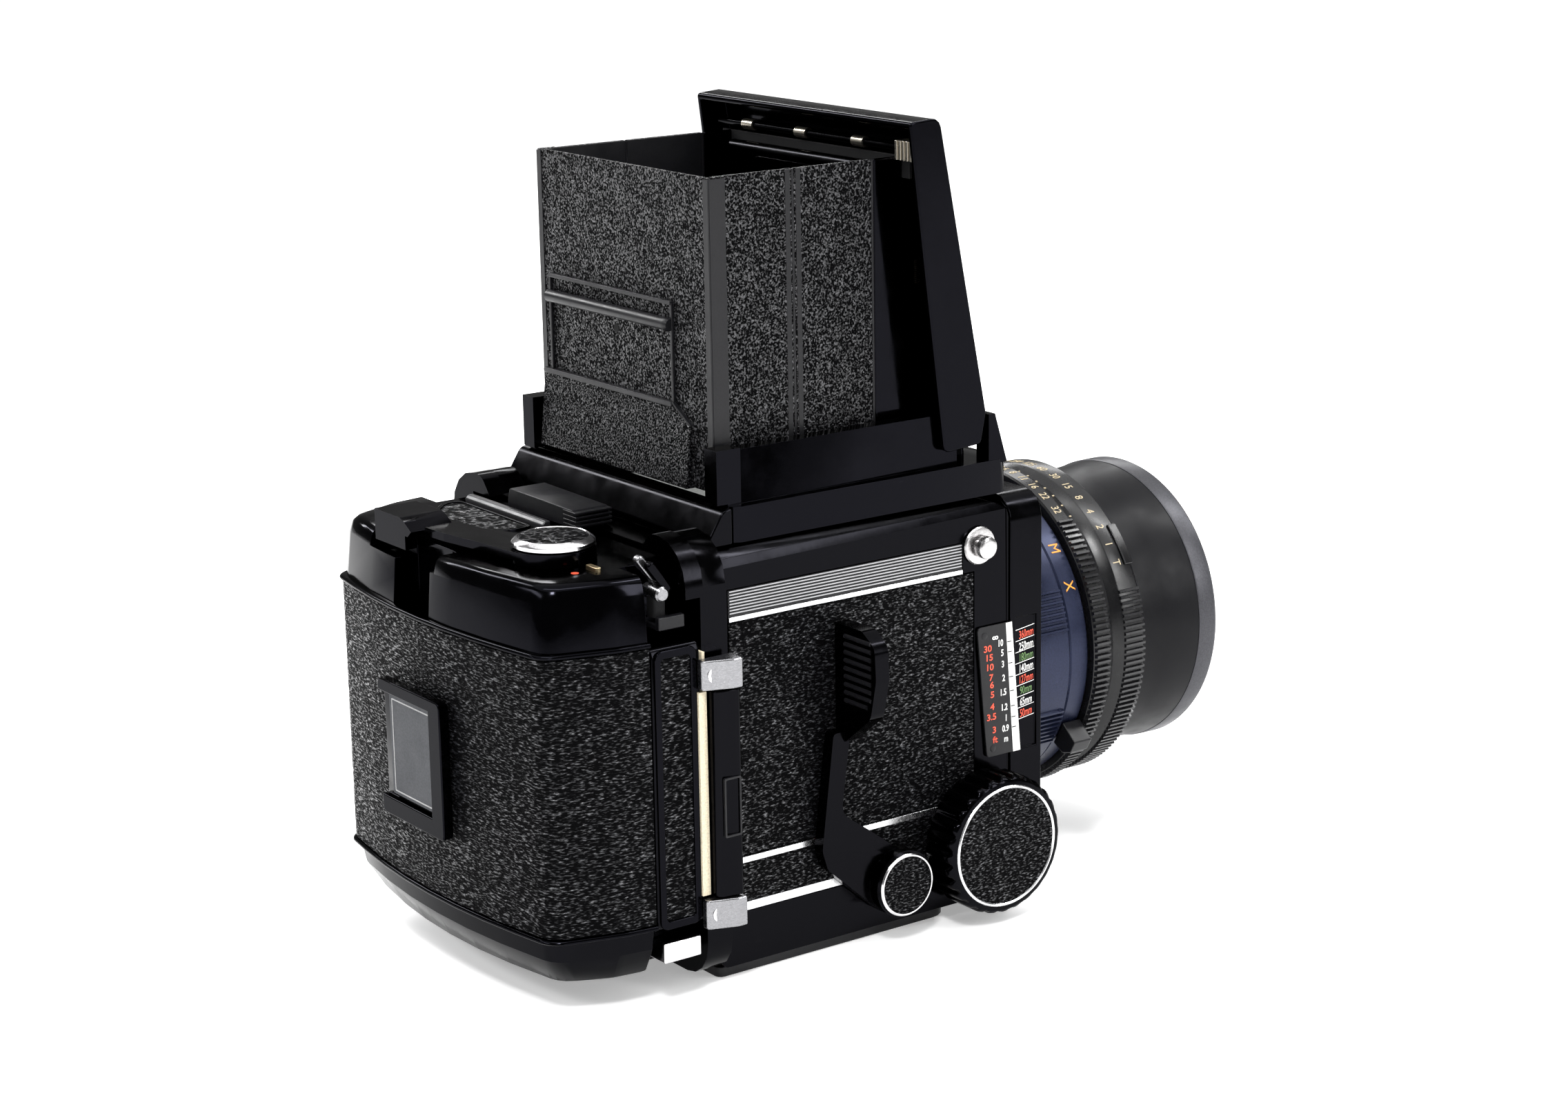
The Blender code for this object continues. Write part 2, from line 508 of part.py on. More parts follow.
def holder_door(turn):
    """The covered shell of the holder, which swings open on its left-hand edge."""
    swing = pivot("holder_door_pivot", DOOR_X, DOOR_Y, SHELL_BOTTOM, turn)
    door = finish(prism(holder_plan(0), "Z", SHELL_BOTTOM, SHELL_TOP), "holder_door", "leatherette", swing)
    inner = [(x, y) for x, y in holder_plan(3.2, 50)]
    cut(door, prism(inner, "Z", 0, 130))
    clip = finish(prism(rounded_box(-15, 17.5, 42, 79.5, 1.5, 2), "Y", 96.4, 99.4), "memo_clip", "black_enamel", swing)
    cut(clip, box(-9, 30, 97.4, 110, 47, 76))


def dark_slide(turn):
    pull = pivot("dark_slide_pull", -60, 47.4, AXIS_Z, turn)
    slide = finish(box(-59.9, 39, 47, 47.8, AXIS_Z - 31, AXIS_Z + 31), "dark_slide", "cream_paint", pull)
    add(slide, box(-60.5, -59.7, 47, 49.4, 29, 83.8))
    finish(prism(rounded([(-59, 38.9, 0), (-59, 46.6, 0), (-63.4, 46.6, 1.5), (-64.6, 38.9, 1)], 2), "Z", 28.6, 84.2),
           "slide_handle", "black_enamel", pull)
    for word, low in (("upper", 84.6), ("lower", 20.2)):
        finish(prism(rounded([(-59.9, 38.7, 0), (-59.9, 49.4, 0), (-62.4, 49.4, 1), (-65.2, 41.5, 1), (-65.2, 38.7, 0)],
                             2), "Z", low, low + 8), word + "_slide_clip", "brushed_silver", pull)


def holder_locks(turn):
    """Sliding locks that hold the film holder on the adapter, and the interlock slider on top."""
    for word, out, rear, low, high in (("upper", -56, 58, 100.5, 104), ("lower", -60, 61.4, 13, 18.4)):
        slide = pivot(word + "_lock_slide", -48, 54, low, turn)
        lock = finish(box(out, -46.6, 50, rear, low, low + 1.6), word + "_holder_lock", "chrome", slide)
        add(lock, box(out, out + 1.8, 50, rear, low, high))
    slide = pivot("interlock_slide", 0, 43, 117, turn)
    finish(prism(rounded([(-10, 117.3, 0), (25, 117.3, 0), (23.6, 122.6, 1), (-8.6, 122.2, 1)], 2), "Y", 42, 53),
           "interlock_slider", "satin_black", slide)


def advance_lever(turn):
    swing = pivot("advance_lever_pivot", ADVANCE_X, ADVANCE_Y, CAP_TOP, turn)
    arm = rounded([(-22, 61.5, 5), (-13, 69.5, 10), (1, 75.4, 8), (16, 77, 2), (16, 87, 2), (2, 86, 8),
                   (-14, 83.4, 10), (-34, 81.5, 6), (-38, 70, 6)], 3)
    lever = finish(prism(arm, "Z", CAP_TOP + 1.2, 119.4), "advance_lever", "black_enamel", swing)
    grip = [(12, CAP_TOP + 1.2), (29.5, CAP_TOP + 1.2), (29.5, 121.8), (16, 121.8), (13.6, 121), (10, 118.9)]
    add(lever, prism(grip, "Y", 78.4, 91.2), box(13.4, 29.5, 87.8, 91.2, 113.4, 121),
        disc("Z", CAP_TOP + GAP, 119.8, ADVANCE_X, ADVANCE_Y, 11, 36))
    finish(turned([(120.1, 0), (120.1, 10.8), (121.6, 10.8), (122.4, 9.6), (122.4, 0)], "Z", ADVANCE_X, ADVANCE_Y, 36),
           "advance_lever_cap", "chrome", swing)


def spools(turn):
    for side, word in ((-1, "take_up"), (1, "supply")):
        spin = pivot(word + "_spool_pivot", side * SPOOL_X, SPOOL_Y, 30, turn)
        profile = [(29.6, 0), (29.6, 12.4), (30.8, 12.4), (30.8, 6), (91.8, 6), (91.8, 12.4), (93, 12.4), (93, 0)]
        finish(turned(profile, "Z", side * SPOOL_X, SPOOL_Y, 24), word + "_spool", "satin_black", spin)


def main():
    for old in list(bpy.data.objects):
        bpy.data.objects.remove(old)
    body()
    finder_base()
    hood_lid()
    hood_leaves()
    magnifier()
    reflex_mirror()
    lens(front_standard())
    focus_knobs()
    cocking_lever()
    shutter_button()
    turn = revolving_back()
    holder_door(turn)
    dark_slide(turn)
    holder_locks(turn)
    advance_lever(turn)
    spools(turn)


main()
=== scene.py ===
import json
import math

import bmesh
import bpy
from mathutils import Matrix, Vector


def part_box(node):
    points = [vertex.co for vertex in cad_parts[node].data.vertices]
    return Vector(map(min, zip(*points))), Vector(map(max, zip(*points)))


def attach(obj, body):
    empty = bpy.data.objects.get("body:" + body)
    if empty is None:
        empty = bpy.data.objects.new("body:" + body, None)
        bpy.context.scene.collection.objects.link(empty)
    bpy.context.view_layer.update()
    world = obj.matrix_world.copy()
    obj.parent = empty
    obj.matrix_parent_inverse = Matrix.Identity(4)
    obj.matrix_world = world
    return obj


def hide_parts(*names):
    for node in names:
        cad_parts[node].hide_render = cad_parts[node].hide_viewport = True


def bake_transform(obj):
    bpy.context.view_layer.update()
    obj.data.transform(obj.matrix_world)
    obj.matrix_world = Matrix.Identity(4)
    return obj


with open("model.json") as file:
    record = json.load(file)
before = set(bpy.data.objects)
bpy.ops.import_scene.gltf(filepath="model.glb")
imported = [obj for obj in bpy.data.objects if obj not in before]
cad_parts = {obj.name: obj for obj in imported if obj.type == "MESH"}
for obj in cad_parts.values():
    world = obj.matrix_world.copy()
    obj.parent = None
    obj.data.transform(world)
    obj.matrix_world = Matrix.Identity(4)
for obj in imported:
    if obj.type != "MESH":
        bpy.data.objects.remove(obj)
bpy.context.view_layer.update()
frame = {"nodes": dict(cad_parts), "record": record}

# The looks of a medium-format reflex camera. The lens looks along -Y, +Z is up, and the photographer's
# right-hand side is -X. Sizes are in millimetres, which MM turns into metres.

MM = 0.001
BODY_OF = {node: body for body, nodes in frame["record"]["behaviour"]["bodies"].items() for node in nodes}


def edges_of(node):
    """A CAD node's box in millimetres: (x0, y0, z0, x1, y1, z1)."""
    low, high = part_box(node)
    return (*(low / MM), *(high / MM))


AXIS_Z = (edges_of("lens_lock_ring")[2] + edges_of("lens_lock_ring")[5]) / 2    # height of the lens axis
CAP_HEIGHT = 0.7        # a capital's height as a share of the font's size
LETTER_DEPTH = 0.04     # half the thickness of printed and engraved characters


# ---- materials -------------------------------------------------------------------------------

class Look:
    """A Principled material, and the nodes that vary it over the surface."""

    def __init__(self, name, colour, roughness, metallic=0.0):
        self.material = bpy.data.materials.new(name)
        self.material.use_nodes = True
        self.tree = self.material.node_tree
        self.shader = self.tree.nodes["Principled BSDF"]
        self.shader.inputs["Base Color"].default_value = (*colour, 1)
        self.shader.inputs["Roughness"].default_value = roughness
        self.shader.inputs["Metallic"].default_value = metallic
        self.height = None

    def node(self, kind):
        return self.tree.nodes.new(kind)

    def link(self, source, target):
        self.tree.links.new(source, target)

    def place(self, stretch):
        """Object coordinates, stretched to draw a grain out along an axis."""
        coordinates = self.node("ShaderNodeTexCoord")
        mapping = self.node("ShaderNodeMapping")
        mapping.inputs["Scale"].default_value = stretch
        self.link(coordinates.outputs["Object"], mapping.inputs["Vector"])
        return mapping.outputs["Vector"]

    def noise(self, size_mm, stretch=(1, 1, 1), detail=3.0, rough=0.5):
        """Noise from 0 to 1 with features of about the given size."""
        made = self.node("ShaderNodeTexNoise")
        made.inputs["Scale"].default_value = 1 / (size_mm * MM)
        made.inputs["Detail"].default_value = detail
        made.inputs["Roughness"].default_value = rough
        self.link(self.place(stretch), made.inputs["Vector"])
        return made.outputs["Fac"]

    def ramp(self, source, stops):
        """A colour ramp through (position, grey or colour) stops."""
        made = self.node("ShaderNodeValToRGB")
        elements = made.color_ramp.elements
        while len(elements) < len(stops):
            elements.new(0.5)
        for element, (position, value) in zip(elements, stops):
            element.position = position
            element.color = (*value, 1) if isinstance(value, tuple) else (value, value, value, 1)
        self.link(source, made.inputs["Fac"])
        return made.outputs["Color"]

    def colour(self, source, stops):
        self.link(self.ramp(source, stops), self.shader.inputs["Base Color"])
        return self

    def roughness(self, source, stops):
        self.link(self.ramp(source, stops), self.shader.inputs["Roughness"])
        return self

    def gleam(self, source, stops):
        """How strongly the surface mirrors from place to place."""
        self.link(self.ramp(source, stops), self.shader.inputs["Specular IOR Level"])
        return self

    def bump(self, source, depth_mm, strength=1.0):
        made = self.node("ShaderNodeBump")
        made.inputs["Strength"].default_value = strength
        made.inputs["Distance"].default_value = depth_mm * MM
        self.link(source, made.inputs["Height"])
        if self.height:
            self.link(self.height, made.inputs["Normal"])
        self.link(made.outputs["Normal"], self.shader.inputs["Normal"])
        self.height = made.outputs["Normal"]
        return self

    def set(self, **values):
        """Numbers and colours that are the same all over, set on the shader's own sockets."""
        for key, value in values.items():
            self.shader.inputs[key.replace("_", " ")].default_value = value
        return self


def enamel(name, colour, gloss):
    """Stove enamel: near black, with a faint orange peel, handling marks and a few fine scuffs.

    It is a dark reflecting surface with its reflection near the edge of sight turned down, because the
    white floor would grey a common black paint.
    """
    look = Look(name, colour, gloss, metallic=1.0)
    marks = look.noise(9, detail=6, rough=0.65)
    look.roughness(marks, [(0.35, gloss), (0.72, gloss + 0.13)])
    scuffs = look.noise(2.2, stretch=(1, 0.15, 1), detail=8, rough=0.8)
    scuffed = tuple(c * 2 + 0.01 for c in colour)
    look.colour(scuffs, [(0.0, colour), (0.66, colour), (0.78, scuffed)])
    look.bump(look.noise(1.6, detail=1), 0.012, 0.4)
    return look.set(Specular_Tint=(0.65, 0.65, 0.65, 1)).material


def leather(name, stretch, size):
    """Leatherette: short raised wrinkles drawn out along the grain, shiny on their crests only, and pale there
    as a painted highlight.
    """
    look = Look(name, (0.005, 0.005, 0.006), 0.4)
    height = look.noise(size, stretch, detail=1.3, rough=0.55)
    # Painted highlight: the colour rises from near black to pale grey on the crests, where the light would
    # glint.
    look.colour(height, [(0.48, (0.001, 0.001, 0.0012)), (0.6, (0.0045, 0.0045, 0.0055)),
                         (0.68, (0.02, 0.021, 0.024)), (0.78, (0.075, 0.077, 0.083))])
    look.roughness(height, [(0.45, 0.6), (0.68, 0.22)])
    look.gleam(height, [(0.5, 0.02), (0.62, 0.2), (0.72, 0.7)])
    look.bump(height, 0.6, 1.0)
    return look.material


def crackle(name):
    """Wrinkle paint: a hard irregular grain, near black, with a painted highlight as pale colour on its
    crests.
    """
    look = Look(name, (0.03, 0.03, 0.032), 0.5)
    grain = look.noise(0.52, detail=2.2, rough=0.5)
    # Painted highlight: the colour rises from near black to pale grey on the grain's crests.
    look.colour(grain, [(0.46, (0.001, 0.001, 0.0012)), (0.55, (0.004, 0.004, 0.0048)),
                        (0.62, (0.016, 0.016, 0.018)), (0.7, (0.062, 0.062, 0.068))])
    look.roughness(grain, [(0.42, 0.7), (0.62, 0.24)])
    look.gleam(grain, [(0.48, 0.02), (0.62, 0.6)])
    look.bump(grain, 0.36, 1.0)
    return look.material


def satin(name, colour, rough, metallic=0.0, gleam=0.5):
    """Satin paint, anodising or cloth: a fine mottle, and a sheen that varies with handling."""
    look = Look(name, colour, rough, metallic)
    fine = look.noise(0.5, detail=2)
    look.roughness(look.noise(7, detail=5), [(0.3, rough - 0.05), (0.7, rough + 0.09)])
    darker, lighter = (tuple(c * share for c in colour) for share in (0.82, 1.15))
    look.colour(fine, [(0.3, darker), (0.7, lighter)])
    look.bump(fine, 0.008, 0.5)
    return look.set(Specular_IOR_Level=gleam).material


def brushed(name, colour, rough, stretch):
    """Metal with fine lines along one direction."""
    look = Look(name, colour, rough, 1.0)
    lines = look.noise(0.35, stretch, detail=4, rough=0.6)
    look.colour(lines, [(0.3, tuple(c * 0.8 for c in colour)), (0.7, colour)])
    look.roughness(lines, [(0.3, rough + 0.12), (0.7, rough)])
    look.bump(lines, 0.01, 0.4)
    return look.material


def glass(name, tint, coat):
    """A lens with a coloured coating and a slight film of haze."""
    look = Look(name, tint, 0.02)
    look.set(Transmission_Weight=0.92, IOR=1.6, Coat_Weight=0.6, Coat_Tint=(*coat, 1))
    look.roughness(look.noise(14, detail=4), [(0.4, 0.01), (0.8, 0.05)])
    return look.material


def print_ink(name, colour):
    """Engraved and filled numerals: paint with slight unevenness."""
    look = Look(name, colour, 0.5)
    wear = look.noise(0.7, detail=4)
    look.colour(wear, [(0.2, tuple(c * 0.72 for c in colour)), (0.6, colour)])
    return look.material


MATERIALS = {
    "enamel": enamel("gloss_enamel", (0.005, 0.005, 0.006), 0.11),
    "top_enamel": enamel("top_enamel", (0.005, 0.005, 0.0064), 0.07),
    "side_leather": leather("side_leather", (1, 0.4, 1), 0.48),
    "back_leather": leather("back_leather", (0.3, 0.3, 1), 0.45),
    "crackle": crackle("crackle_paint"),
    "satin": satin("satin_black", (0.006, 0.006, 0.0072), 0.34, gleam=0.22),
    "cone": satin("cone_black", (0.002, 0.002, 0.003), 0.36, gleam=0.12),
    "cone_rim": satin("cone_rim", (0.05, 0.05, 0.056), 0.36, 0.6, gleam=0.3),
    "matt": satin("matt_black", (0.004, 0.004, 0.0045), 0.75, gleam=0.2),
    "ring_blue": satin("blue_anodised", (0.013, 0.017, 0.04), 0.3, 0.6, gleam=0.35),
    "rail": satin("polished_rail", (0.02, 0.02, 0.022), 0.3, 0.2, gleam=0.3),
    "chrome": brushed("chrome", (0.66, 0.65, 0.66), 0.1, (1, 0.3, 1)),
    "silver": brushed("brushed_silver", (0.34, 0.34, 0.35), 0.26, (1, 0.08, 1)),
    "stud_chrome": brushed("stud_chrome", (0.5, 0.49, 0.49), 0.2, (1, 0.3, 1)),
    "ring_black": satin("ring_black", (0.004, 0.004, 0.0046), 0.26, gleam=0.32),
    "knurl": satin("knurl_black", (0.008, 0.008, 0.009), 0.24, gleam=0.45),
    "dull_chrome": brushed("dull_chrome", (0.26, 0.26, 0.27), 0.22, (1, 0.3, 1)),
    "white_metal": brushed("white_metal", (0.7, 0.7, 0.71), 0.2, (1, 0.5, 0.5)),
    "brass": brushed("brass", (0.62, 0.5, 0.3), 0.28, (0.2, 1, 1)),
    "nickel": brushed("nickel", (0.62, 0.57, 0.48), 0.25, (0.2, 1, 1)),
    "cream": satin("cream_paint", (0.68, 0.6, 0.44), 0.42),
    "card": satin("memo_card", (0.045, 0.047, 0.052), 0.5, gleam=0.12),
    "card_edge": satin("card_edge", (0.25, 0.25, 0.25), 0.4),
    "glass": glass("coated_glass", (0.92, 0.94, 1.0), (0.5, 0.42, 0.9)),
    "clear_glass": glass("clear_glass", (0.97, 0.98, 0.97), (0.95, 0.96, 0.95)),
    "ground_glass": satin("ground_glass", (0.62, 0.64, 0.62), 0.55),
    "mirror": brushed("mirror_silver", (0.9, 0.9, 0.92), 0.03, (1, 1, 1)),
    "cloth": satin("bellows_cloth", (0.006, 0.006, 0.007), 0.85, gleam=0.2),
    "white_ink": print_ink("white_ink", (0.82, 0.82, 0.8)),
    "red_ink": print_ink("red_ink", (0.75, 0.075, 0.03)),
    "green_ink": print_ink("green_ink", (0.1, 0.2, 0.06)),
    "orange_ink": print_ink("orange_ink", (0.85, 0.3, 0.02)),
    "gold_ink": print_ink("gold_ink", (0.5, 0.41, 0.26)),
}


# ---- mesh helpers ----------------------------------------------------------------------------

def piece(bm, name, look, body, stands_for=(), smooth_angle=32):
    """A finished piece from a mesh in millimetres, riding on a body if one is given."""
    bmesh.ops.recalc_face_normals(bm, faces=bm.faces)
    bmesh.ops.scale(bm, vec=(MM, MM, MM), verts=bm.verts)
    mesh = bpy.data.meshes.new(name)
    bm.to_mesh(mesh)
    bm.free()
    mesh.materials.append(MATERIALS[look])
    mesh.shade_smooth()
    mesh.set_sharp_from_angle(angle=math.radians(smooth_angle))
    obj = bpy.data.objects.new(name, mesh)
    bpy.context.scene.collection.objects.link(obj)
    if body:
        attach(obj, body)
    if stands_for:
        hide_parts(*stands_for)
    return obj


def soften(obj, width=0.35, segments=2, angle=38):
    """Rounds an object's hard edges."""
    bevel = obj.modifiers.new("edges", "BEVEL")
    bevel.width = width * MM
    bevel.segments = segments
    bevel.limit_method = "ANGLE"
    bevel.angle_limit = math.radians(angle)
    bevel.harden_normals = True
    return obj


def refine(node, look, width, segments=2, angle=38):
    """A CAD node's own shape with its edges rounded, which stands for the node."""
    bm = bmesh.new()
    bm.from_mesh(frame["nodes"][node].data)
    bmesh.ops.scale(bm, vec=(1 / MM, 1 / MM, 1 / MM), verts=bm.verts)
    bmesh.ops.remove_doubles(bm, verts=bm.verts, dist=0.002)
    bmesh.ops.dissolve_limit(bm, angle_limit=math.radians(1.2), verts=bm.verts, edges=bm.edges)
    obj = piece(bm, node + "_finished", look, BODY_OF[node], [node])
    return soften(obj, width, segments, angle)


def line(obj, look, inward):
    """Gives a panel's inner faces their own material; inward says whether a (centre, normal) faces in."""
    obj.data.materials.append(MATERIALS[look])
    for face in obj.data.polygons:
        if inward(face.center, face.normal):
            face.material_index = 1


def repaint(node, look):
    """A CAD node kept as it is, with a finished material."""
    mesh = frame["nodes"][node].data
    mesh.materials.clear()
    mesh.materials.append(MATERIALS[look])


def spot(axis, along, u, v):
    """A point at a place along an axis, with the other two coordinates in their usual order."""
    return {"X": (along, u, v), "Y": (u, along, v), "Z": (u, v, along)}[axis]


def loft(loops, closed=False, into=None):
    """A skin over loops of equally many points, capped at both ends, or closed from last to first."""
    bm = into or bmesh.new()
    rows = [[bm.verts.new(point) for point in loop] for loop in loops]
    if not closed:
        bm.faces.new(rows[0])
        bm.faces.new(rows[-1])
    count = len(rows[0])
    for i in range(len(rows) if closed else len(rows) - 1):
        here, there = rows[i], rows[(i + 1) % len(rows)]
        for k in range(count):
            following = (k + 1) % count
            bm.faces.new((here[k], here[following], there[following], there[k]))
    return bm


def prism(outline, axis, low, high, into=None):
    """An outline drawn out along an axis."""
    return loft([[spot(axis, end, u, v) for u, v in outline] for end in (low, high)], into=into)


def box(x0, x1, y0, y1, z0, z1, into=None):
    return prism([(x0, y0), (x1, y0), (x1, y1), (x0, y1)], "Z", z0, z1, into)


def turned(profile, axis, u, v, steps=96, into=None):
    """A body of revolution from a closed profile of (place along the axis, radius)."""
    bm = into or bmesh.new()
    rows = []
    for along, radius in profile:
        turns = [2 * math.pi * k / steps for k in range(steps if radius else 1)]
        rows.append([bm.verts.new(spot(axis, along, u + radius * math.cos(t), v + radius * math.sin(t)))
                     for t in turns])
    for i, row in enumerate(rows):
        after = rows[(i + 1) % len(rows)]
        if len(row) == len(after) == 1:
            continue
        for k in range(steps):
            corners = (row[k % len(row)], row[(k + 1) % len(row)],
                       after[(k + 1) % len(after)], after[k % len(after)])
            bm.faces.new(dict.fromkeys(corners))
    return bm


def arc(u, v, radius, start, end, steps):
    """Points round a centre, from one angle to another in degrees."""
    turns = [math.radians(start + (end - start) * k / steps) for k in range(steps + 1)]
    return [(u + radius * math.cos(t), v + radius * math.sin(t)) for t in turns]


def rounded_box(u0, u1, v0, v1, radius, steps=5):
    """The outline of a rectangle with round corners."""
    outline = []
    for u, v, start in ((u1 - radius, v1 - radius, 0), (u0 + radius, v1 - radius, 90),
                        (u0 + radius, v0 + radius, 180), (u1 - radius, v0 + radius, 270)):
        outline += arc(u, v, radius, start, start + 90, steps)
    return outline


def band(outer, inner, axis, low, high):
    """A frame between two outlines of equally many points."""
    corners = ((outer, low), (outer, high), (inner, high), (inner, low))
    return loft([[spot(axis, end, u, v) for u, v in outline] for outline, end in corners], closed=True)


def sector(inner, outer, start, end, y0, y1, steps=24, into=None):
    """Part of a ring about the lens axis, between two angles in degrees."""
    outline = arc(0, AXIS_Z, outer, start, end, steps) + arc(0, AXIS_Z, inner, end, start, steps)
    return prism(outline, "Y", y0, y1, into)


def lettering(name, items, look, body, bold=0.0):
    """Raised numerals from (text, centre, right, up, height in mm, width factor) items."""
    joined = bmesh.new()
    for text, centre, right, up, height, width in items:
        curve = bpy.data.curves.new(name + "_text", "FONT")
        curve.body = text
        curve.size = height / CAP_HEIGHT
        curve.align_x = "CENTER"
        curve.align_y = "CENTER"
        curve.extrude = LETTER_DEPTH
        curve.offset = bold
        curve.resolution_u = 4
        holder = bpy.data.objects.new(name + "_text", curve)
        bpy.context.scene.collection.objects.link(holder)
        bpy.context.view_layer.update()
        mesh = bpy.data.meshes.new_from_object(holder.evaluated_get(bpy.context.evaluated_depsgraph_get()))
        right, up = Vector(right).normalized(), Vector(up).normalized()
        turn = Matrix((right * width, up, right.cross(up))).transposed().to_4x4()
        mesh.transform(Matrix.Translation(centre) @ turn)
        joined.from_mesh(mesh)
        bpy.data.objects.remove(holder)
        bpy.data.meshes.remove(mesh)
    return piece(joined, name, look, body)


def side_of(name):
    """-1 for a part on the photographer's right, 1 for one on the left."""
    return -1 if name.startswith("right") else 1


def span(side, near, far):
    """The lower and upper X of something between two distances from the middle, on one side."""
    return sorted((side * near, side * far))


# ---- body ------------------------------------------------------------------------------------

def body_parts():
    refine("body_shell", "enamel", 0.7, 3)
    refine("base_plate", "satin", 0.4)
    refine("tripod_bush", "chrome", 0.2)
    refine("rear_top_cover", "enamel", 0.5, 3, 25)
    repaint("focusing_screen", "ground_glass")
    repaint("reflex_mirror", "mirror")
    for word in ("right", "left"):
        refine(word + "_covering", "side_leather", 0.2)
        strap_stud(word)
        nameplate(word)
        trim(word)


def strap_stud(word):
    """A flange, a neck and a round head."""
    x0, y0, z0, x1, y1, z1 = edges_of(word + "_strap_stud")
    side = side_of(word)
    base = min(abs(x0), abs(x1))
    y, z = (y0 + y1) / 2, (z0 + z1) / 2
    profile = [(0, 0), (0, 5.2), (0.5, 5.3), (0.9, 5.0), (1.05, 4.2), (1.1, 2.3), (2.0, 2.3), (2.1, 3.1),
               (3.9, 3.1), (4.25, 3.0), (4.5, 2.7), (4.65, 2.2), (4.7, 1.6), (4.7, 0)]
    profile = [(side * (base + along), radius) for along, radius in profile]
    piece(turned(profile, "X", y, z, 72), word + "_strap_stud_finished", "stud_chrome", "camera_body",
          [word + "_strap_stud"])


def nameplate(word):
    """A black plate with fine silver ribs, over a plain bright strip."""
    x0, y0, z0, x1, y1, z1 = edges_of(word + "_nameplate")
    side = side_of(word)
    back, out = sorted((abs(x0), abs(x1)))
    low, high = span(side, back, out - 0.25)
    piece(box(low, high, y0, y1, z0, z1), word + "_nameplate_finished", "satin", "camera_body",
          [word + "_nameplate"])
    ribs, strip, gap = 8, 1.25, 0.5
    bm = bmesh.new()
    pitch = (z1 - z0 - strip - gap) / ribs
    low, high = span(side, out - 0.4, out)
    for k in range(ribs):
        z = z0 + strip + gap + k * pitch
        box(low, high, y0 + 0.3, y1 - 0.3, z + pitch * 0.42, z + pitch * 0.82, bm)
    piece(bm, word + "_nameplate_ribs", "silver", "camera_body")
    low, high = span(side, out - 0.4, out + 0.15)
    soften(piece(box(low, high, y0, y1, z0, z0 + strip), word + "_nameplate_strip", "white_metal",
                 "camera_body"), 0.12)


def trim(word):
    """Two bright strips with leatherette between them."""
    refine(word + "_trim", "white_metal", 0.15)
    x0, y0, z0, x1, y1, z1 = edges_of(word + "_trim")
    out = max(abs(x0), abs(x1))
    low, high = span(side_of(word), out - 0.9, out + 0.06)
    strip = box(low, high, y0, y1, z0 + 2.4, z1 - 1.6)
    piece(strip, word + "_trim_leather", "side_leather", "camera_body")


# ---- distance scale --------------------------------------------------------------------------

def scales():
    """The distance scale on the body and the focal-length lines on the front standard."""
    x0, y0, z0, _, _, z1 = edges_of("scale_plate")
    refine("scale_plate", "satin", 0.15)
    right, up = (0, -1, 0), (0, 0, 1)
    face = x0 - 0.03
    bold = 0.05
    feet = [("30", -51.5, 75.2), ("15", -52.0, 72.6), ("10", -52.2, 69.8), ("7", -52.7, 66.8),
            ("6", -53.0, 64.6), ("5", -53.2, 61.8), ("4", -53.2, 58.3), ("3.5", -52.9, 55.4),
            ("3", -53.9, 51.5), ("ft", -54.2, 48.6)]
    metres = [("10", -56.0, 76.1), ("5", -56.7, 73.2), ("3", -56.9, 69.9), ("2", -57.2, 65.9),
              ("1.5", -57.0, 61.8), ("1.2", -57.4, 57.4), ("1", -58.1, 54.2), ("0.9", -57.9, 51.2),
              ("m", -58.1, 48.2)]
    lettering("feet_scale", [(text, (face, y, z), right, up, 1.8, 1.12) for text, y, z in feet], "red_ink",
              "camera_body", bold)
    lettering("metre_scale", [(text, (face, y, z), right, up, 1.85, 0.74) for text, y, z in metres],
              "white_ink", "camera_body", bold)
    # An 8 on its side is the mark for infinity.
    lettering("far_mark", [("8", (face, -54.3, 78.0), up, (0, 1, 0), 2.0, 0.8)], "white_ink", "camera_body",
              bold)
    # The white strip leans forward: its rear edge is at top_y at the top and lean further forward at the foot.
    top_y, lean = -57.9, 2.7
    strip = [(top_y, z1 - 0.1), (y0 + 3.2, z1 - 0.1), (y0 + 0.05, z0 + 0.1), (top_y - lean, z0 + 0.1)]
    piece(prism(strip, "X", face - 0.08, face + 0.2), "scale_index_strip", "white_ink", "camera_body")
    ticks = bmesh.new()
    for _, _, z in metres[:-1]:
        edge = top_y - lean * (z1 - z) / (z1 - z0)
        box(face - 0.12, face + 0.1, edge - 1.5, edge - 0.1, z - 0.13, z + 0.13, ticks)
    piece(ticks, "scale_index_ticks", "matt", "camera_body")
    screws = bmesh.new()
    profile = [(face + 0.3, 0), (face + 0.3, 1.0), (face - 0.02, 1.0), (face - 0.1, 0.75), (face - 0.1, 0)]
    for y, z in ((-50.4, z1 - 2.6), (-53.4, z0 + 2.4)):
        turned(profile, "X", y, z, 24, screws)
    piece(screws, "scale_screws", "satin", "camera_body")
    focal_lines()


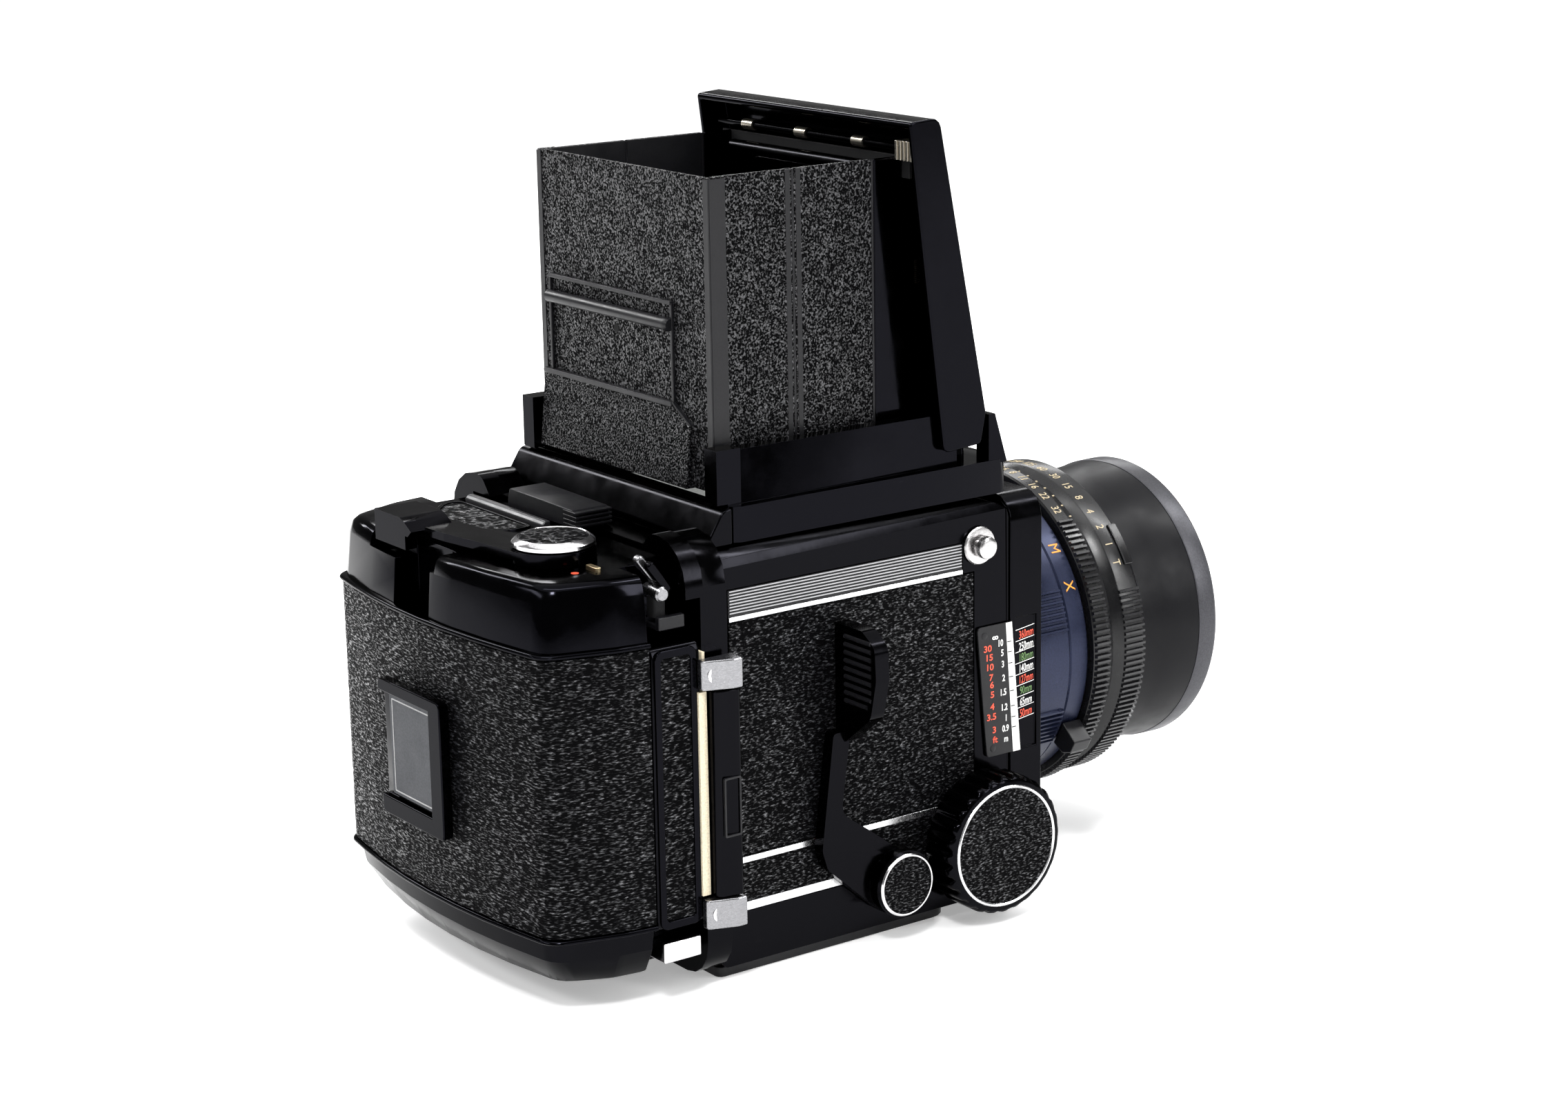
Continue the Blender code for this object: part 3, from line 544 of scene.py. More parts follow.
def focal_lines():
    """Slanting rules on the side of the front standard, with a focal length between each two."""
    face, near, far = -51.25, -62.6, -69.6
    backing = prism(rounded_box(-69.7, -62.5, 44.3, 81.7, 1.2), "X", face, face + 0.4)
    soften(piece(backing, "focal_plate", "satin", "front_carriage"), 0.1)
    rows = [("360", "red_ink", 76.7), ("250", "white_ink", 73.3), ("180", "green_ink", 70.1),
            ("140", "white_ink", 66.9), ("127", "red_ink", 63.7), ("90", "green_ink", 60.5),
            ("65", "white_ink", 57.2), ("50", "red_ink", 53.9)]
    rise, pitch, thick = 0.9, 3.25, 0.1
    rules = bmesh.new()
    for k in range(len(rows) + 1):
        z = rows[0][2] + (0.45 - k) * pitch
        outline = [(far, z + thick + rise), (near, z + thick), (near, z - thick), (far, z - thick + rise)]
        prism(outline, "X", face - 0.06, face + 0.1, rules)
    piece(rules, "focal_rules", "white_ink", "front_carriage")
    for text, look, z in rows:
        item = (text + "mm", (face - 0.03, -66.6, z + 0.1), (0, -1, 0.13), (0, 0, 1), 2.3, 0.53)
        lettering("focal_" + text, [item], look, "front_carriage", 0.02)


# ---- finder and hood -------------------------------------------------------------------------

def finder():
    refine("finder_base", "top_enamel", 0.5, 3)
    refine("hood_lid", "top_enamel", 0.7, 3)
    for node in ("right_front_leaf", "right_rear_leaf", "left_front_leaf", "left_rear_leaf"):
        side = side_of(node)
        line(refine(node, "crackle", 0.25), "satin",
             lambda centre, normal, side=side: normal.x * side < -0.5)
    line(refine("hood_rear_panel", "crackle", 0.3), "satin",
         lambda centre, normal: normal.y < -0.5 or normal.x * centre.x < -0.001)
    hood_panel_details()
    leaf_hinges()
    lid_details()
    magnifier()


def hood_panel_details():
    """Ribs, hooked bar, rivets and corner strips of the rear panel."""
    _, _, z0, _, _, z1 = edges_of("hood_rear_panel")
    face, bar_z = 29.9, 171.3
    rails = bmesh.new()
    prism(rounded_box(-24, 36, 176.4, 177.5, 0.5, 3), "Y", face - 0.4, face + 1.1, rails)
    prism(rounded_box(-24, 39.4, 149.5, 150.9, 0.6, 3), "Y", face - 0.4, face + 1.4, rails)
    for x in (-24.2, 35.2):
        prism(rounded_box(x, x + 1.0, 150.2, 177, 0.4, 3), "Y", face - 0.4, face + 0.8, rails)
    slant = [(-24.2, 150.8), (-23.2, 150.8), (-31.6, 145.6), (-32.4, 145.8)]
    prism(slant, "Y", face - 0.2, face + 1.2, rails)
    soften(piece(rails, "hood_frame_ribs", "satin", "rear_panel"), 0.25)
    bar = [(-23.6, 0), (-23.6, 1.2), (-23.1, 1.7), (35.4, 1.7), (36, 1.2), (36, 0)]
    piece(turned(bar, "X", face + 1.1, bar_z, 28), "hood_hook_bar", "satin", "rear_panel")
    end = [(-24.1, 0), (-24.1, 1.5), (-23.4, 1.8), (-22.2, 1.8), (-22.2, 0)]
    piece(turned(end, "X", face + 1.1, bar_z, 28), "hood_bar_end", "satin", "rear_panel")
    rivets = bmesh.new()
    head = [(face - 0.3, 0), (face - 0.3, 1.1), (face + 0.25, 1.0), (face + 0.6, 0.6), (face + 0.7, 0)]
    for x, z in ((-33.5, 197), (-33.5, 156), (37.6, 197), (37.6, 156)):
        turned(head, "Y", x, z, 24, rivets)
    piece(rivets, "hood_rivets", "crackle", "rear_panel")
    # Painted shade: a matt black disc on the panel's face stands in for the dark inside of the catch hole.
    hole_shade = [(face - 0.2, 0), (face - 0.2, 1.2), (face + 0.06, 1.2), (face + 0.06, 0)]
    piece(turned(hole_shade, "Y", 3.5, 166.6, 24), "hood_catch_hole", "matt", "rear_panel")
    strips = bmesh.new()
    outline = [(29.2, z1 - 0.4), (30.1, z1 - 0.4), (30.1, z0 + 0.4), (29.2, z0 + 0.4)]
    for side in (-1, 1):
        box(*span(side, 40.8, 41.1), 24.7, 29.6, z0 + 0.4, 210.6, strips)
        prism(outline, "X", *span(side, 38.9, 41.0), strips)
    piece(strips, "hood_corner_strips", "satin", "rear_panel")


def leaf_hinges():
    """Hinge pins between the leaves, and the smooth rolled edges beside them."""
    _, _, z0, _, _, z1 = edges_of("right_front_leaf")
    pin = [(z0 + 0.2, 0), (z0 + 0.2, 0.6), (z1 - 0.2, 0.6), (z1 - 0.2, 0)]
    for word in ("right", "left"):
        side = side_of(word)
        for name, y, body in (("front", -23.25, "camera_body"), ("rear", 2.6, word + "_front")):
            piece(turned(pin, "Z", side * 39.2, y, 20), f"{word}_{name}_leaf_pin", "satin", body)
        for name, y, body in (("front", 0.15, word + "_front"), ("rear", 3.5, word + "_rear")):
            strip = box(*span(side, 39.5, 39.88), y, y + 1.55, z0 + 0.2, z1 - 0.1)
            soften(piece(strip, f"{word}_{name}_leaf_edge", "satin", body), 0.12)


def lid_details():
    """Hinge rod with brass sleeves, catch and spring inside the lid's top."""
    y, z = -33.2, 213.2
    rod = turned([(-44, 0), (-44, 1.0), (44, 1.0), (44, 0)], "X", y, z, 24)
    piece(rod, "lid_rod", "enamel", "camera_body")
    sleeves = bmesh.new()
    for x in (-24, 2, 27):
        turned([(x, 0), (x, 1.5), (x + 5, 1.5), (x + 5, 0)], "X", y, z, 32, sleeves)
    piece(sleeves, "lid_rod_sleeves", "nickel", "camera_body")
    catch = bmesh.new()
    for k in range(5):
        x = -46.8 + k * 1.5
        box(x, x + 1.0, y - 1.6, y + 2.6, z - 3.0, z + 2.2, catch)
    box(-46.9, -39.7, y - 1.9, y + 2.1, z - 2.8, z + 2.0, catch)
    soften(piece(catch, "lid_catch", "nickel", "camera_body"), 0.15)
    shelf = box(-43, 43, y - 0.8, y + 0.2, z - 8, z - 2.2)
    soften(piece(shelf, "lid_shelf", "matt", "camera_body"), 0.2)
    coil = bmesh.new()
    for k in range(12):
        low = 176 + k * 0.55
        turned([(low, 0.6), (low, 0.95), (low + 0.35, 0.95), (low + 0.35, 0.6)], "Z", -42.6, -40.2, 14, coil)
    piece(coil, "lid_spring", "brass", "camera_body")


def magnifier():
    """The magnifier folded against the lid, and the wall that closes the slot under the lid."""
    refine("magnifier_frame", "enamel", 0.4)
    repaint("magnifier_lens", "clear_glass")
    wall = box(-43.5, 43.5, -50.9, -49.9, 126.9, 135.5)
    soften(piece(wall, "finder_front_wall", "enamel", "camera_body"), 0.2)


# ---- front -----------------------------------------------------------------------------------

def standard():
    refine("front_standard", "enamel", 0.6, 3)
    for node in ("right_focus_rack", "left_focus_rack"):
        refine(node, "silver", 0.2)
    bellows()
    repaint("leaf_shutter", "matt")


def bellows():
    """Pleated cloth between the body and the front standard; the real bellows draws out as the front slides
    forward, but this mesh stays as built.
    """
    near, far = edges_of("bellows")[4], edges_of("bellows")[1]
    folds, outer, inner, cloth = 24, 39.4, 35.0, 0.6
    walls = []
    for skin in (0, cloth):
        loops = []
        for k in range(folds + 1):
            share = 0.5 - math.sin(math.asin(1 - 2 * k / folds) / 3)
            half = (inner if k % 2 else outer) - skin
            outline = rounded_box(-half, half, -half, half, 5, 4)
            loops.append([(u, near + (far - near) * share, AXIS_Z + v) for u, v in outline])
        walls.append(loops)
    tube = loft(walls[0] + walls[1][::-1], closed=True)
    obj = piece(tube, "bellows_pleats", "cloth", None, ["bellows"], 20)
    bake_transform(obj)


def lens():
    """The lens's turned parts, which stand for its CAD nodes."""
    def ring(node, profile, look, steps=160):
        piece(turned(profile, "Y", 0, AXIS_Z, steps), node + "_finished", look, BODY_OF[node],
              [node], 24)

    ring("lens_barrel", [(-62, 22), (-62, 40.5), (-72.2, 40.5), (-72.2, 38), (-88.3, 38), (-88.3, 44.4),
                         (-88.9, 45), (-94.6, 45), (-95.3, 44.4), (-95.3, 39), (-117, 39), (-117, 30),
                         (-112, 26), (-110, 22)], "ring_blue")
    ring("lens_lock_ring", [(-72.5, 38.4), (-72.5, 45.0), (-73, 45.5), (-87.5, 45.5), (-88, 45.0),
                            (-88, 38.4)], "ring_blue")
    ring("aperture_ring", [(-95.7, 39.4), (-95.7, 46.6), (-96.2, 47.1), (-100.6, 47.1), (-101.2, 46.8),
                           (-103.8, 45.6), (-104.3, 45), (-104.3, 39.4)], "ring_black")
    ring("shutter_speed_ring", [(-104.7, 39.4), (-104.7, 44.2), (-105.2, 44.6), (-107.4, 46.2),
                                (-107.9, 46.4), (-114.6, 46.4), (-115.4, 45.8), (-116.6, 44.6),
                                (-116.6, 40.4)], "ring_black")
    ring("front_cone", [(-117.4, 25), (-117.4, 40.2), (-118.2, 39.3), (-119, 38.8), (-124, 39.3),
                        (-129, 40.5), (-134, 41.6), (-140.3, 42.2), (-140.5, 41.9), (-147, 41.2),
                        (-147, 40.6), (-146, 40.4), (-140, 39.0), (-134, 32), (-128, 27), (-122, 25)], "cone")
    rim = [(-140.45, 41.7), (-140.5, 42.3), (-141, 42.5), (-146.4, 42.6), (-147, 42.3), (-147, 41.1),
           (-146, 41.1), (-141, 41.5)]
    piece(turned(rim, "Y", 0, AXIS_Z, 160), "cone_rim_band", "cone_rim", "front_carriage",
          (), 24)
    ridges = bmesh.new()
    for k in range(7):
        y, r = -124.0 - 1.9 * k, 26.9 + 1.35 * k
        ridge = [(y, r - 0.5), (y - 0.5, r - 1.0), (y - 0.9, r + 0.6), (y - 0.2, r + 1.1)]
        turned(ridge, "Y", 0, AXIS_Z, 96, ridges)
    piece(ridges, "cone_baffles", "matt", "front_carriage")
    ring("front_element", [(-118, 0), (-118, 24.6), (-121.5, 24.6), (-123.6, 21.5), (-125.3, 17),
                           (-126.4, 11), (-126.9, 5), (-127, 0)], "glass", 96)
    ring("rear_element", [(-64, 0), (-63.1, 8), (-63.2, 15), (-64, 21.6), (-68, 21.6), (-68, 0)], "glass", 96)
    knurls()
    lock_ring_pads()
    lens_marks()
    refine("sync_lever", "satin", 0.4)


def ribs_round(into, start, end, pitch, inner, outer, y0, y1):
    """Straight ribs round the lens axis, each a wedge with a narrower crest."""
    count = round((end - start) / pitch)
    for k in range(count):
        centre = math.radians(start + (k + 0.5) * (end - start) / count)
        root = math.radians(pitch) * 0.36
        crest = root * 0.5
        outline = [(r * math.cos(centre + t), AXIS_Z + r * math.sin(centre + t))
                   for r, t in ((inner, -root), (outer, -crest), (outer, crest), (inner, root))]
        prism(outline, "Y", y0, y1, into)


def knurls():
    """The ribbed grips of the aperture and shutter speed rings."""
    bm = bmesh.new()
    ribs_round(bm, 129, 411, 2.15, 46.7, 48.1, -100.9, -95.9)
    piece(bm, "aperture_ring_knurl", "knurl", "aperture_control", (), 20)
    bm = bmesh.new()
    ribs_round(bm, 158, 382, 2.15, 46.1, 47.15, -114.9, -107.6)
    piece(bm, "speed_ring_knurl", "knurl", "speed_control", (), 20)
    bump = sector(45.2, 47.1, 134, 150, -115.6, -112.4)
    soften(piece(bump, "speed_ring_grip", "ring_black", "speed_control"), 0.4)


def lock_ring_pads():
    """Eight groups of ribs on the lens lock ring."""
    bm = bmesh.new()
    for k in range(8):
        centre = 161 + 45 * k
        ribs_round(bm, centre - 8, centre + 8, 2.0, 45.2, 46.3, -87.2, -75)
    piece(bm, "lock_ring_ribs", "ring_blue", "lock_ring", (), 20)


def round_text(text, angle, radius, y, height, width=0.8):
    """A numeral on a ring, read by the photographer from behind."""
    t = math.radians(angle)
    centre = (radius * math.cos(t), y, AXIS_Z + radius * math.sin(t))
    return text, centre, (-math.sin(t), 0, math.cos(t)), (0, -1, 0), height, width


def lens_marks():
    """Engraved numerals and index marks of the lens."""
    speeds = ["T", "1", "2", "4", "8", "15", "30", "60", "125", "250", "400"]
    items = [round_text(text, 148.5 - 7.2 * k, 46.43, -110, 2.7) for k, text in enumerate(speeds)]
    lettering("speed_numerals", items, "gold_ink", "speed_control")
    stops = [("32", 124), ("22", 116.5), ("16", 110), ("11", 104), ("8", 98.5), ("5.6", 93), ("4", 87),
             ("3.8", 80)]
    items = [round_text(text, angle, 47.13, -98.6, 2.6) for text, angle in stops]
    lettering("aperture_numerals", items, "gold_ink", "aperture_control")
    depth = bmesh.new()
    for angle in (127, 121.5, 116, 111, 106, 101, 96):
        sector(45.5, 46.35, angle, angle + 0.45, -102.9, -101.3, 2, depth)
        sector(46.2, 46.72, angle - 2.2, angle + 0.45, -101.3, -101.0, 4, depth)
    piece(depth, "aperture_depth_rules", "gold_ink", "aperture_control")
    marks = [round_text(text, angle, 45.03, -91.8, 3.4, 0.9) for text, angle in (("M", 138), ("X", 153))]
    lettering("sync_marks", marks, "orange_ink", "front_carriage")
    t = math.radians(124)
    index = turned([(0, 0.7), (0, 1.2), (0.25, 1.2), (0.25, 0.7)], "Z", 0, 0, 24)
    out = Vector((math.cos(t), 0, math.sin(t)))
    turn = out.to_track_quat("Z", "Y").to_matrix().to_4x4()
    place = Matrix.Translation(out * 45.45 + Vector((0, -86.6, AXIS_Z))) @ turn
    bmesh.ops.transform(index, matrix=place, verts=index.verts)
    piece(index, "lock_index", "white_ink", "lock_ring")


# ---- knobs, levers and button ----------------------------------------------------------------

def knobs():
    """Fluted focusing knobs, each with a bright ring round a leather pad."""
    y, z = -47.0, 23.0
    repaint("pinion_shaft", "silver")
    for word in ("right", "left"):
        side = side_of(word)
        node = word + "_focus_knob"
        x0, _, _, x1, _, _ = edges_of(node)
        near, far = sorted((abs(x0), abs(x1)))
        sections = ((near, 1.6, 0.0), (near + 0.8, 0.4, 0.6), (near + 1.6, 0.0, 1.0), (far - 1.9, 0.0, 1.0),
                    (far - 0.9, 0.3, 0.7), (far - 0.25, 0.9, 0.1), (far, 1.5, 0.0))
        loops = [[(side * along, y + r * math.cos(t), z + r * math.sin(t))
                  for r, t in fluted(19.7 - inset, depth)] for along, inset, depth in sections]
        piece(loft(loops), node + "_finished", "enamel", "focus_shaft", [node], 50)
        ring = [(far - 0.5, 16.4), (far - 0.5, 17.25), (far + 0.15, 17.25), (far + 0.45, 17.0),
                (far + 0.45, 16.65), (far + 0.2, 16.4)]
        piece(turned([(side * a, r) for a, r in ring], "X", y, z, 128), word + "_knob_ring", "white_metal",
              "focus_shaft")
        pad = [(far - 0.5, 0), (far - 0.5, 16.5), (far + 0.12, 16.5), (far + 0.12, 0)]
        piece(turned([(side * a, r) for a, r in pad], "X", y, z, 96), word + "_knob_leather", "side_leather",
              "focus_shaft")


def fluted(radius, depth, flutes=28, steps=9):
    """(radius, angle) points of a knob's edge with scooped flutes."""
    points = []
    for k in range(flutes * steps):
        phase = k / steps % 1
        scoop = depth * max(0.0, math.cos((phase - 0.5) * 2 * math.pi * 0.8)) ** 1.2
        points.append((radius - scoop, 2 * math.pi * k / (flutes * steps)))
    return points


def cocking():
    """The cocking lever, with its hub's rim and pad and the ribs of its grip."""
    refine("cocking_lever", "enamel", 0.6, 3)
    hub, y, z = -60.4, -16.5, 17.2
    rim = [(hub + 2.6, 8.4), (hub + 2.6, 8.8), (hub - 0.9, 8.8), (hub - 1.3, 8.5), (hub - 1.3, 8.1),
           (hub + 0.4, 7.9)]
    piece(turned(rim, "X", y, z, 96), "cocking_hub_rim", "chrome", "cocking")
    pad = [(hub + 0.3, 0), (hub + 0.3, 8.05), (hub - 1.05, 8.05), (hub - 1.05, 0)]
    piece(turned(pad, "X", y, z, 96), "cocking_hub_leather", "side_leather", "cocking")
    ribs = bmesh.new()
    for k in range(9):
        height = 72 + k * 2.2
        reach = 68.9 if height > 74 else 67.2
        prism([(v, w) for w, v in arc(height, 0.75, 0.62, 0, 180, 6)], "X", -reach, -57.6, ribs)
    piece(ribs, "cocking_blade_ribs", "satin", "cocking")


def button():
    refine("shutter_button", "chrome", 0.2)


# ---- film back -------------------------------------------------------------------------------

def holder_plan(inset):
    """The holder's outline from above: tapered ends and a rear wall with a slight bow."""
    half, waist, corner, rear = (size - inset for size in (59.4, 58.2, 51.5, 90.8))
    front, bow = 63.1, 5.2
    points = [(-half, front, 0), (-waist, 72, 12), (-corner - 1.2, rear, 7)]
    points += [(corner * t, rear + bow * (1 - t * t), 0) for t in (-0.75, -0.5, -0.25, 0, 0.25, 0.5, 0.75)]
    points += [(corner + 1.2, rear, 7), (waist, 72, 12), (half, front, 0)]
    return rounded(points, 10)


def rounded(corners, steps=8):
    """An outline through (u, v, radius) corners, each rounded to its radius."""
    outline = []
    for i, (u, v, radius) in enumerate(corners):
        here = Vector((u, v))
        if not radius:
            outline.append((u, v))
            continue
        before = (Vector(corners[i - 1][:2]) - here).normalized()
        after = (Vector(corners[(i + 1) % len(corners)][:2]) - here).normalized()
        half = before.angle(after) / 2
        centre = here + (before + after).normalized() * radius / math.sin(half)
        start = here + before * radius / math.tan(half) - centre
        end = here + after * radius / math.tan(half) - centre
        turn = math.atan2(start.x * end.y - start.y * end.x, start.dot(end))
        first = math.atan2(start.y, start.x)
        for k in range(steps + 1):
            angle = first + turn * k / steps
            outline.append((centre.x + radius * math.cos(angle), centre.y + radius * math.sin(angle)))
    return outline


def back():
    refine("revolving_adapter", "enamel", 1.0, 3)
    refine("holder_frame", "enamel", 0.6, 3)
    refine("holder_top_cap", "top_enamel", 0.7, 3, 40)
    refine("holder_bottom_cap", "enamel", 0.6, 3, 40)
    refine("pressure_plate", "satin", 0.3)
    middle_y = 60 * MM
    line(refine("holder_door", "back_leather", 0.3), "satin",
         lambda centre, normal: normal.x * centre.x + normal.y * (centre.y - middle_y) < -2 * MM)
    beads()
    side_strips()
    memo_holder()
    slide_parts()
    locks()
    top_details()
    advance()
    for node in ("take_up_spool", "supply_spool"):
        refine(node, "satin", 0.2)


def beads():
    """Polished beads between the holder's leather and its end caps."""
    bottom, top = edges_of("holder_door")[2], edges_of("holder_door")[5]
    for name, seam, way in (("upper_bead", top, 1), ("lower_bead", bottom, -1)):
        levels = [(0.1, 0.9), (0.15, -0.1), (0.4, -0.5), (0.9, -0.62), (1.3, -0.4), (1.5, 0.1), (1.5, 1.4)]
        loops = [[(x, y, seam + way * (z + 0.05)) for x, y in holder_plan(inset)] for z, inset in levels]
        piece(loft(loops), name, "top_enamel", "film_back", (), 50)


def side_strips():
    """Leather panels on the ends of the holder frame, each in a raised border."""
    x_out = edges_of("holder_frame")[3]
    outer, inner = rounded_box(49.4, 62.0, 22.0, 96.6, 2.2), rounded_box(51.2, 60.2, 24.2, 94.4, 1.2)
    for word in ("right", "left"):
        side = side_of(word)
        border = band(outer, inner, "X", *span(side, x_out - 0.6, x_out + 0.55))
        soften(piece(border, word + "_holder_border", "top_enamel", "film_back"), 0.3, 3)
        panel = prism(rounded_box(51, 60.4, 24, 94.6, 1.2), "X", *span(side, x_out - 0.6, x_out + 0.1))
        piece(panel, word + "_holder_leather", "back_leather", "film_back")


def memo_holder():
    """The memo clip with a grey card in it, which has a fine printed line round its edge."""
    refine("memo_clip", "top_enamel", 0.4, 3)
    card = prism(rounded_box(-8.8, 13.4, 48, 75.4, 0.3, 2), "Y", 97.2, 98.15)
    piece(card, "memo_card", "card", "back_door")
    border = band(rounded_box(-8.0, 12.2, 48.8, 74.6, 0.3, 2), rounded_box(-7.6, 11.8, 49.2, 74.2, 0.2, 2),
                  "Y", 98.1, 98.2)
    piece(border, "memo_card_line", "card_edge", "back_door")


def slide_parts():
    """The dark slide, its handle and the two clips with their eyelets."""
    repaint("dark_slide", "cream")
    refine("slide_handle", "enamel", 0.4, 3)
    for word in ("upper", "lower"):
        node = word + "_slide_clip"
        refine(node, "dull_chrome", 0.5, 3)
        _, _, z0, _, _, z1 = edges_of(node)
        centre_z = (z0 + z1) / 2
        eyelet = turned([(-62.2, 1.1), (-62.2, 2.0), (-63.2, 2.0), (-63.2, 1.1)], "X", 46.2, centre_z, 32)
        piece(eyelet, node + "_eyelet", "chrome", "slide")
        # Painted shade: a matt black disc in each eyelet stands in for the dark inside of the hole.
        hole_shade = turned([(-62.2, 0), (-62.2, 1.15), (-63.0, 1.15), (-63.0, 0)], "X", 46.2, centre_z, 24)
        piece(hole_shade, node + "_hole", "matt", "slide")
    recess = band(rounded_box(39.7, 44.9, 45, 61, 0.4, 2), rounded_box(40.2, 44.4, 45.5, 60.5, 0.3, 2), "X",
                  -64.75, -64.0)
    piece(recess, "slide_handle_label", "satin", "slide")


def locks():
    """Holder locks, with the upper one's polished arm and roller."""
    refine("upper_holder_lock", "satin", 0.4, 3)
    refine("lower_holder_lock", "chrome", 0.4, 3)
    roller = [(-55.6, 0), (-55.6, 1.5), (-55.1, 2.0), (-48.5, 2.0), (-48, 1.5), (-48, 0)]
    piece(turned(roller, "X", 56.2, 109.8, 48), "lock_roller", "dull_chrome", "upper_lock")
    arm = rounded([(52.2, 110.4, 1), (54.6, 109.8, 1), (61.6, 118.6, 1.2), (59.6, 120.2, 1.2)], 5)
    soften(piece(prism(arm, "X", -51.6, -49.2), "lock_arm", "dull_chrome", "upper_lock"), 0.6, 3)
    arm = rounded([(52.2, 110.4, 1), (54.6, 109.8, 1), (60.4, 117.4, 1.2), (58.4, 119, 1.2)], 5)
    soften(piece(prism(arm, "X", -54.8, -52.4), "lock_arm_cover", "enamel", "upper_lock"),
           0.6, 3)
    post = prism(rounded_box(-54, -50, 54.2, 58, 1, 3), "Z", 103.6, 109)
    piece(post, "lock_post", "matt", "upper_lock")


def top_details():
    """Ribbed slider, leather patch, marks and finger recess on the top of the back."""
    x0, y0, z0, _, y1, _ = edges_of("interlock_slider")
    refine("interlock_slider", "satin", 0.3)
    ribs = bmesh.new()
    for k in range(4):
        low = z0 + 0.5 + k * 1.15
        box(x0 - 0.35, x0 + 6, y0 - 0.25, y1 + 0.25, low, low + 0.6, ribs)
    soften(piece(ribs, "interlock_ribs", "satin", "interlock"), 0.15)
    cap_top = edges_of("holder_top_cap")[5]
    patch = rounded([(5, 58.6, 1.5), (41, 58.6, 2.5), (41, 63, 4), (31, 72.5, 7), (10, 70.6, 4), (5, 66, 3)])
    piece(prism(patch, "Z", cap_top - 0.3, cap_top + 0.25), "top_leather", "back_leather", "film_back")
    border = rounded([(3.8, 57.4, 2.7), (42.2, 57.4, 3.7), (42.2, 63.5, 5), (31.4, 73.8, 8), (9.6, 71.9, 5),
                      (3.8, 66.5, 4)])
    soften(piece(band(border, patch, "Z", cap_top - 0.3, cap_top + 0.6), "top_leather_border", "top_enamel",
                 "film_back"), 0.2)
    dot = [(cap_top - 0.3, 0), (cap_top - 0.3, 1.0), (cap_top + 0.1, 1.0), (cap_top + 0.1, 0)]
    piece(turned(dot, "Z", -43.5, 74.5, 24), "lever_dot", "red_ink", "film_back")
    stop = prism(rounded_box(-46.5, -41.5, 68.4, 70.2, 0.5, 3), "Z", cap_top - 0.3, cap_top + 1.2)
    soften(piece(stop, "lever_stop", "brass", "film_back"), 0.2)
    rail = prism([(54.6, cap_top - 0.3), (57.2, cap_top - 0.3), (57.2, cap_top + 1.3), (56.2, cap_top + 2.2),
                  (54.6, cap_top + 2.2)], "X", 0, 40.5)
    soften(piece(rail, "top_rail", "rail", "film_back"), 0.4, 3)


def advance():
    """The advance lever and its bright cap with a leather pad."""
    refine("advance_lever", "top_enamel", 0.5, 3)
    x0, y0, z0, x1, y1, z1 = edges_of("advance_lever_cap")
    x, y = (x0 + x1) / 2, (y0 + y1) / 2
    profile = [(z0, 0), (z0, 10.6), (z0 + 0.2, 10.8), (z0 + 1.1, 10.8), (z0 + 1.5, 10.5), (z1, 9.3),
               (z1 - 0.2, 9.0), (z1 - 0.4, 8.9), (z1 - 0.4, 0)]
    piece(turned(profile, "Z", x, y, 128), "advance_cap_finished", "chrome", "advance",
          ["advance_lever_cap"])
    pad = [(z1 - 0.6, 0), (z1 - 0.6, 8.95), (z1 - 0.12, 8.95), (z1 - 0.12, 0)]
    piece(turned(pad, "Z", x, y, 96), "advance_cap_leather", "back_leather", "advance")


# ---- studio ----------------------------------------------------------------------------------

def light(name, size, power, place, aim):
    """A white softbox; sizes and places here are in metres."""
    data = bpy.data.lights.new(name, "AREA")
    data.shape = "RECTANGLE"
    data.size, data.size_y = size
    data.energy = power
    obj = bpy.data.objects.new(name, data)
    bpy.context.scene.collection.objects.link(obj)
    obj.location = place
    obj.rotation_euler = (Vector(aim) - Vector(place)).to_track_quat("-Z", "Y").to_euler()


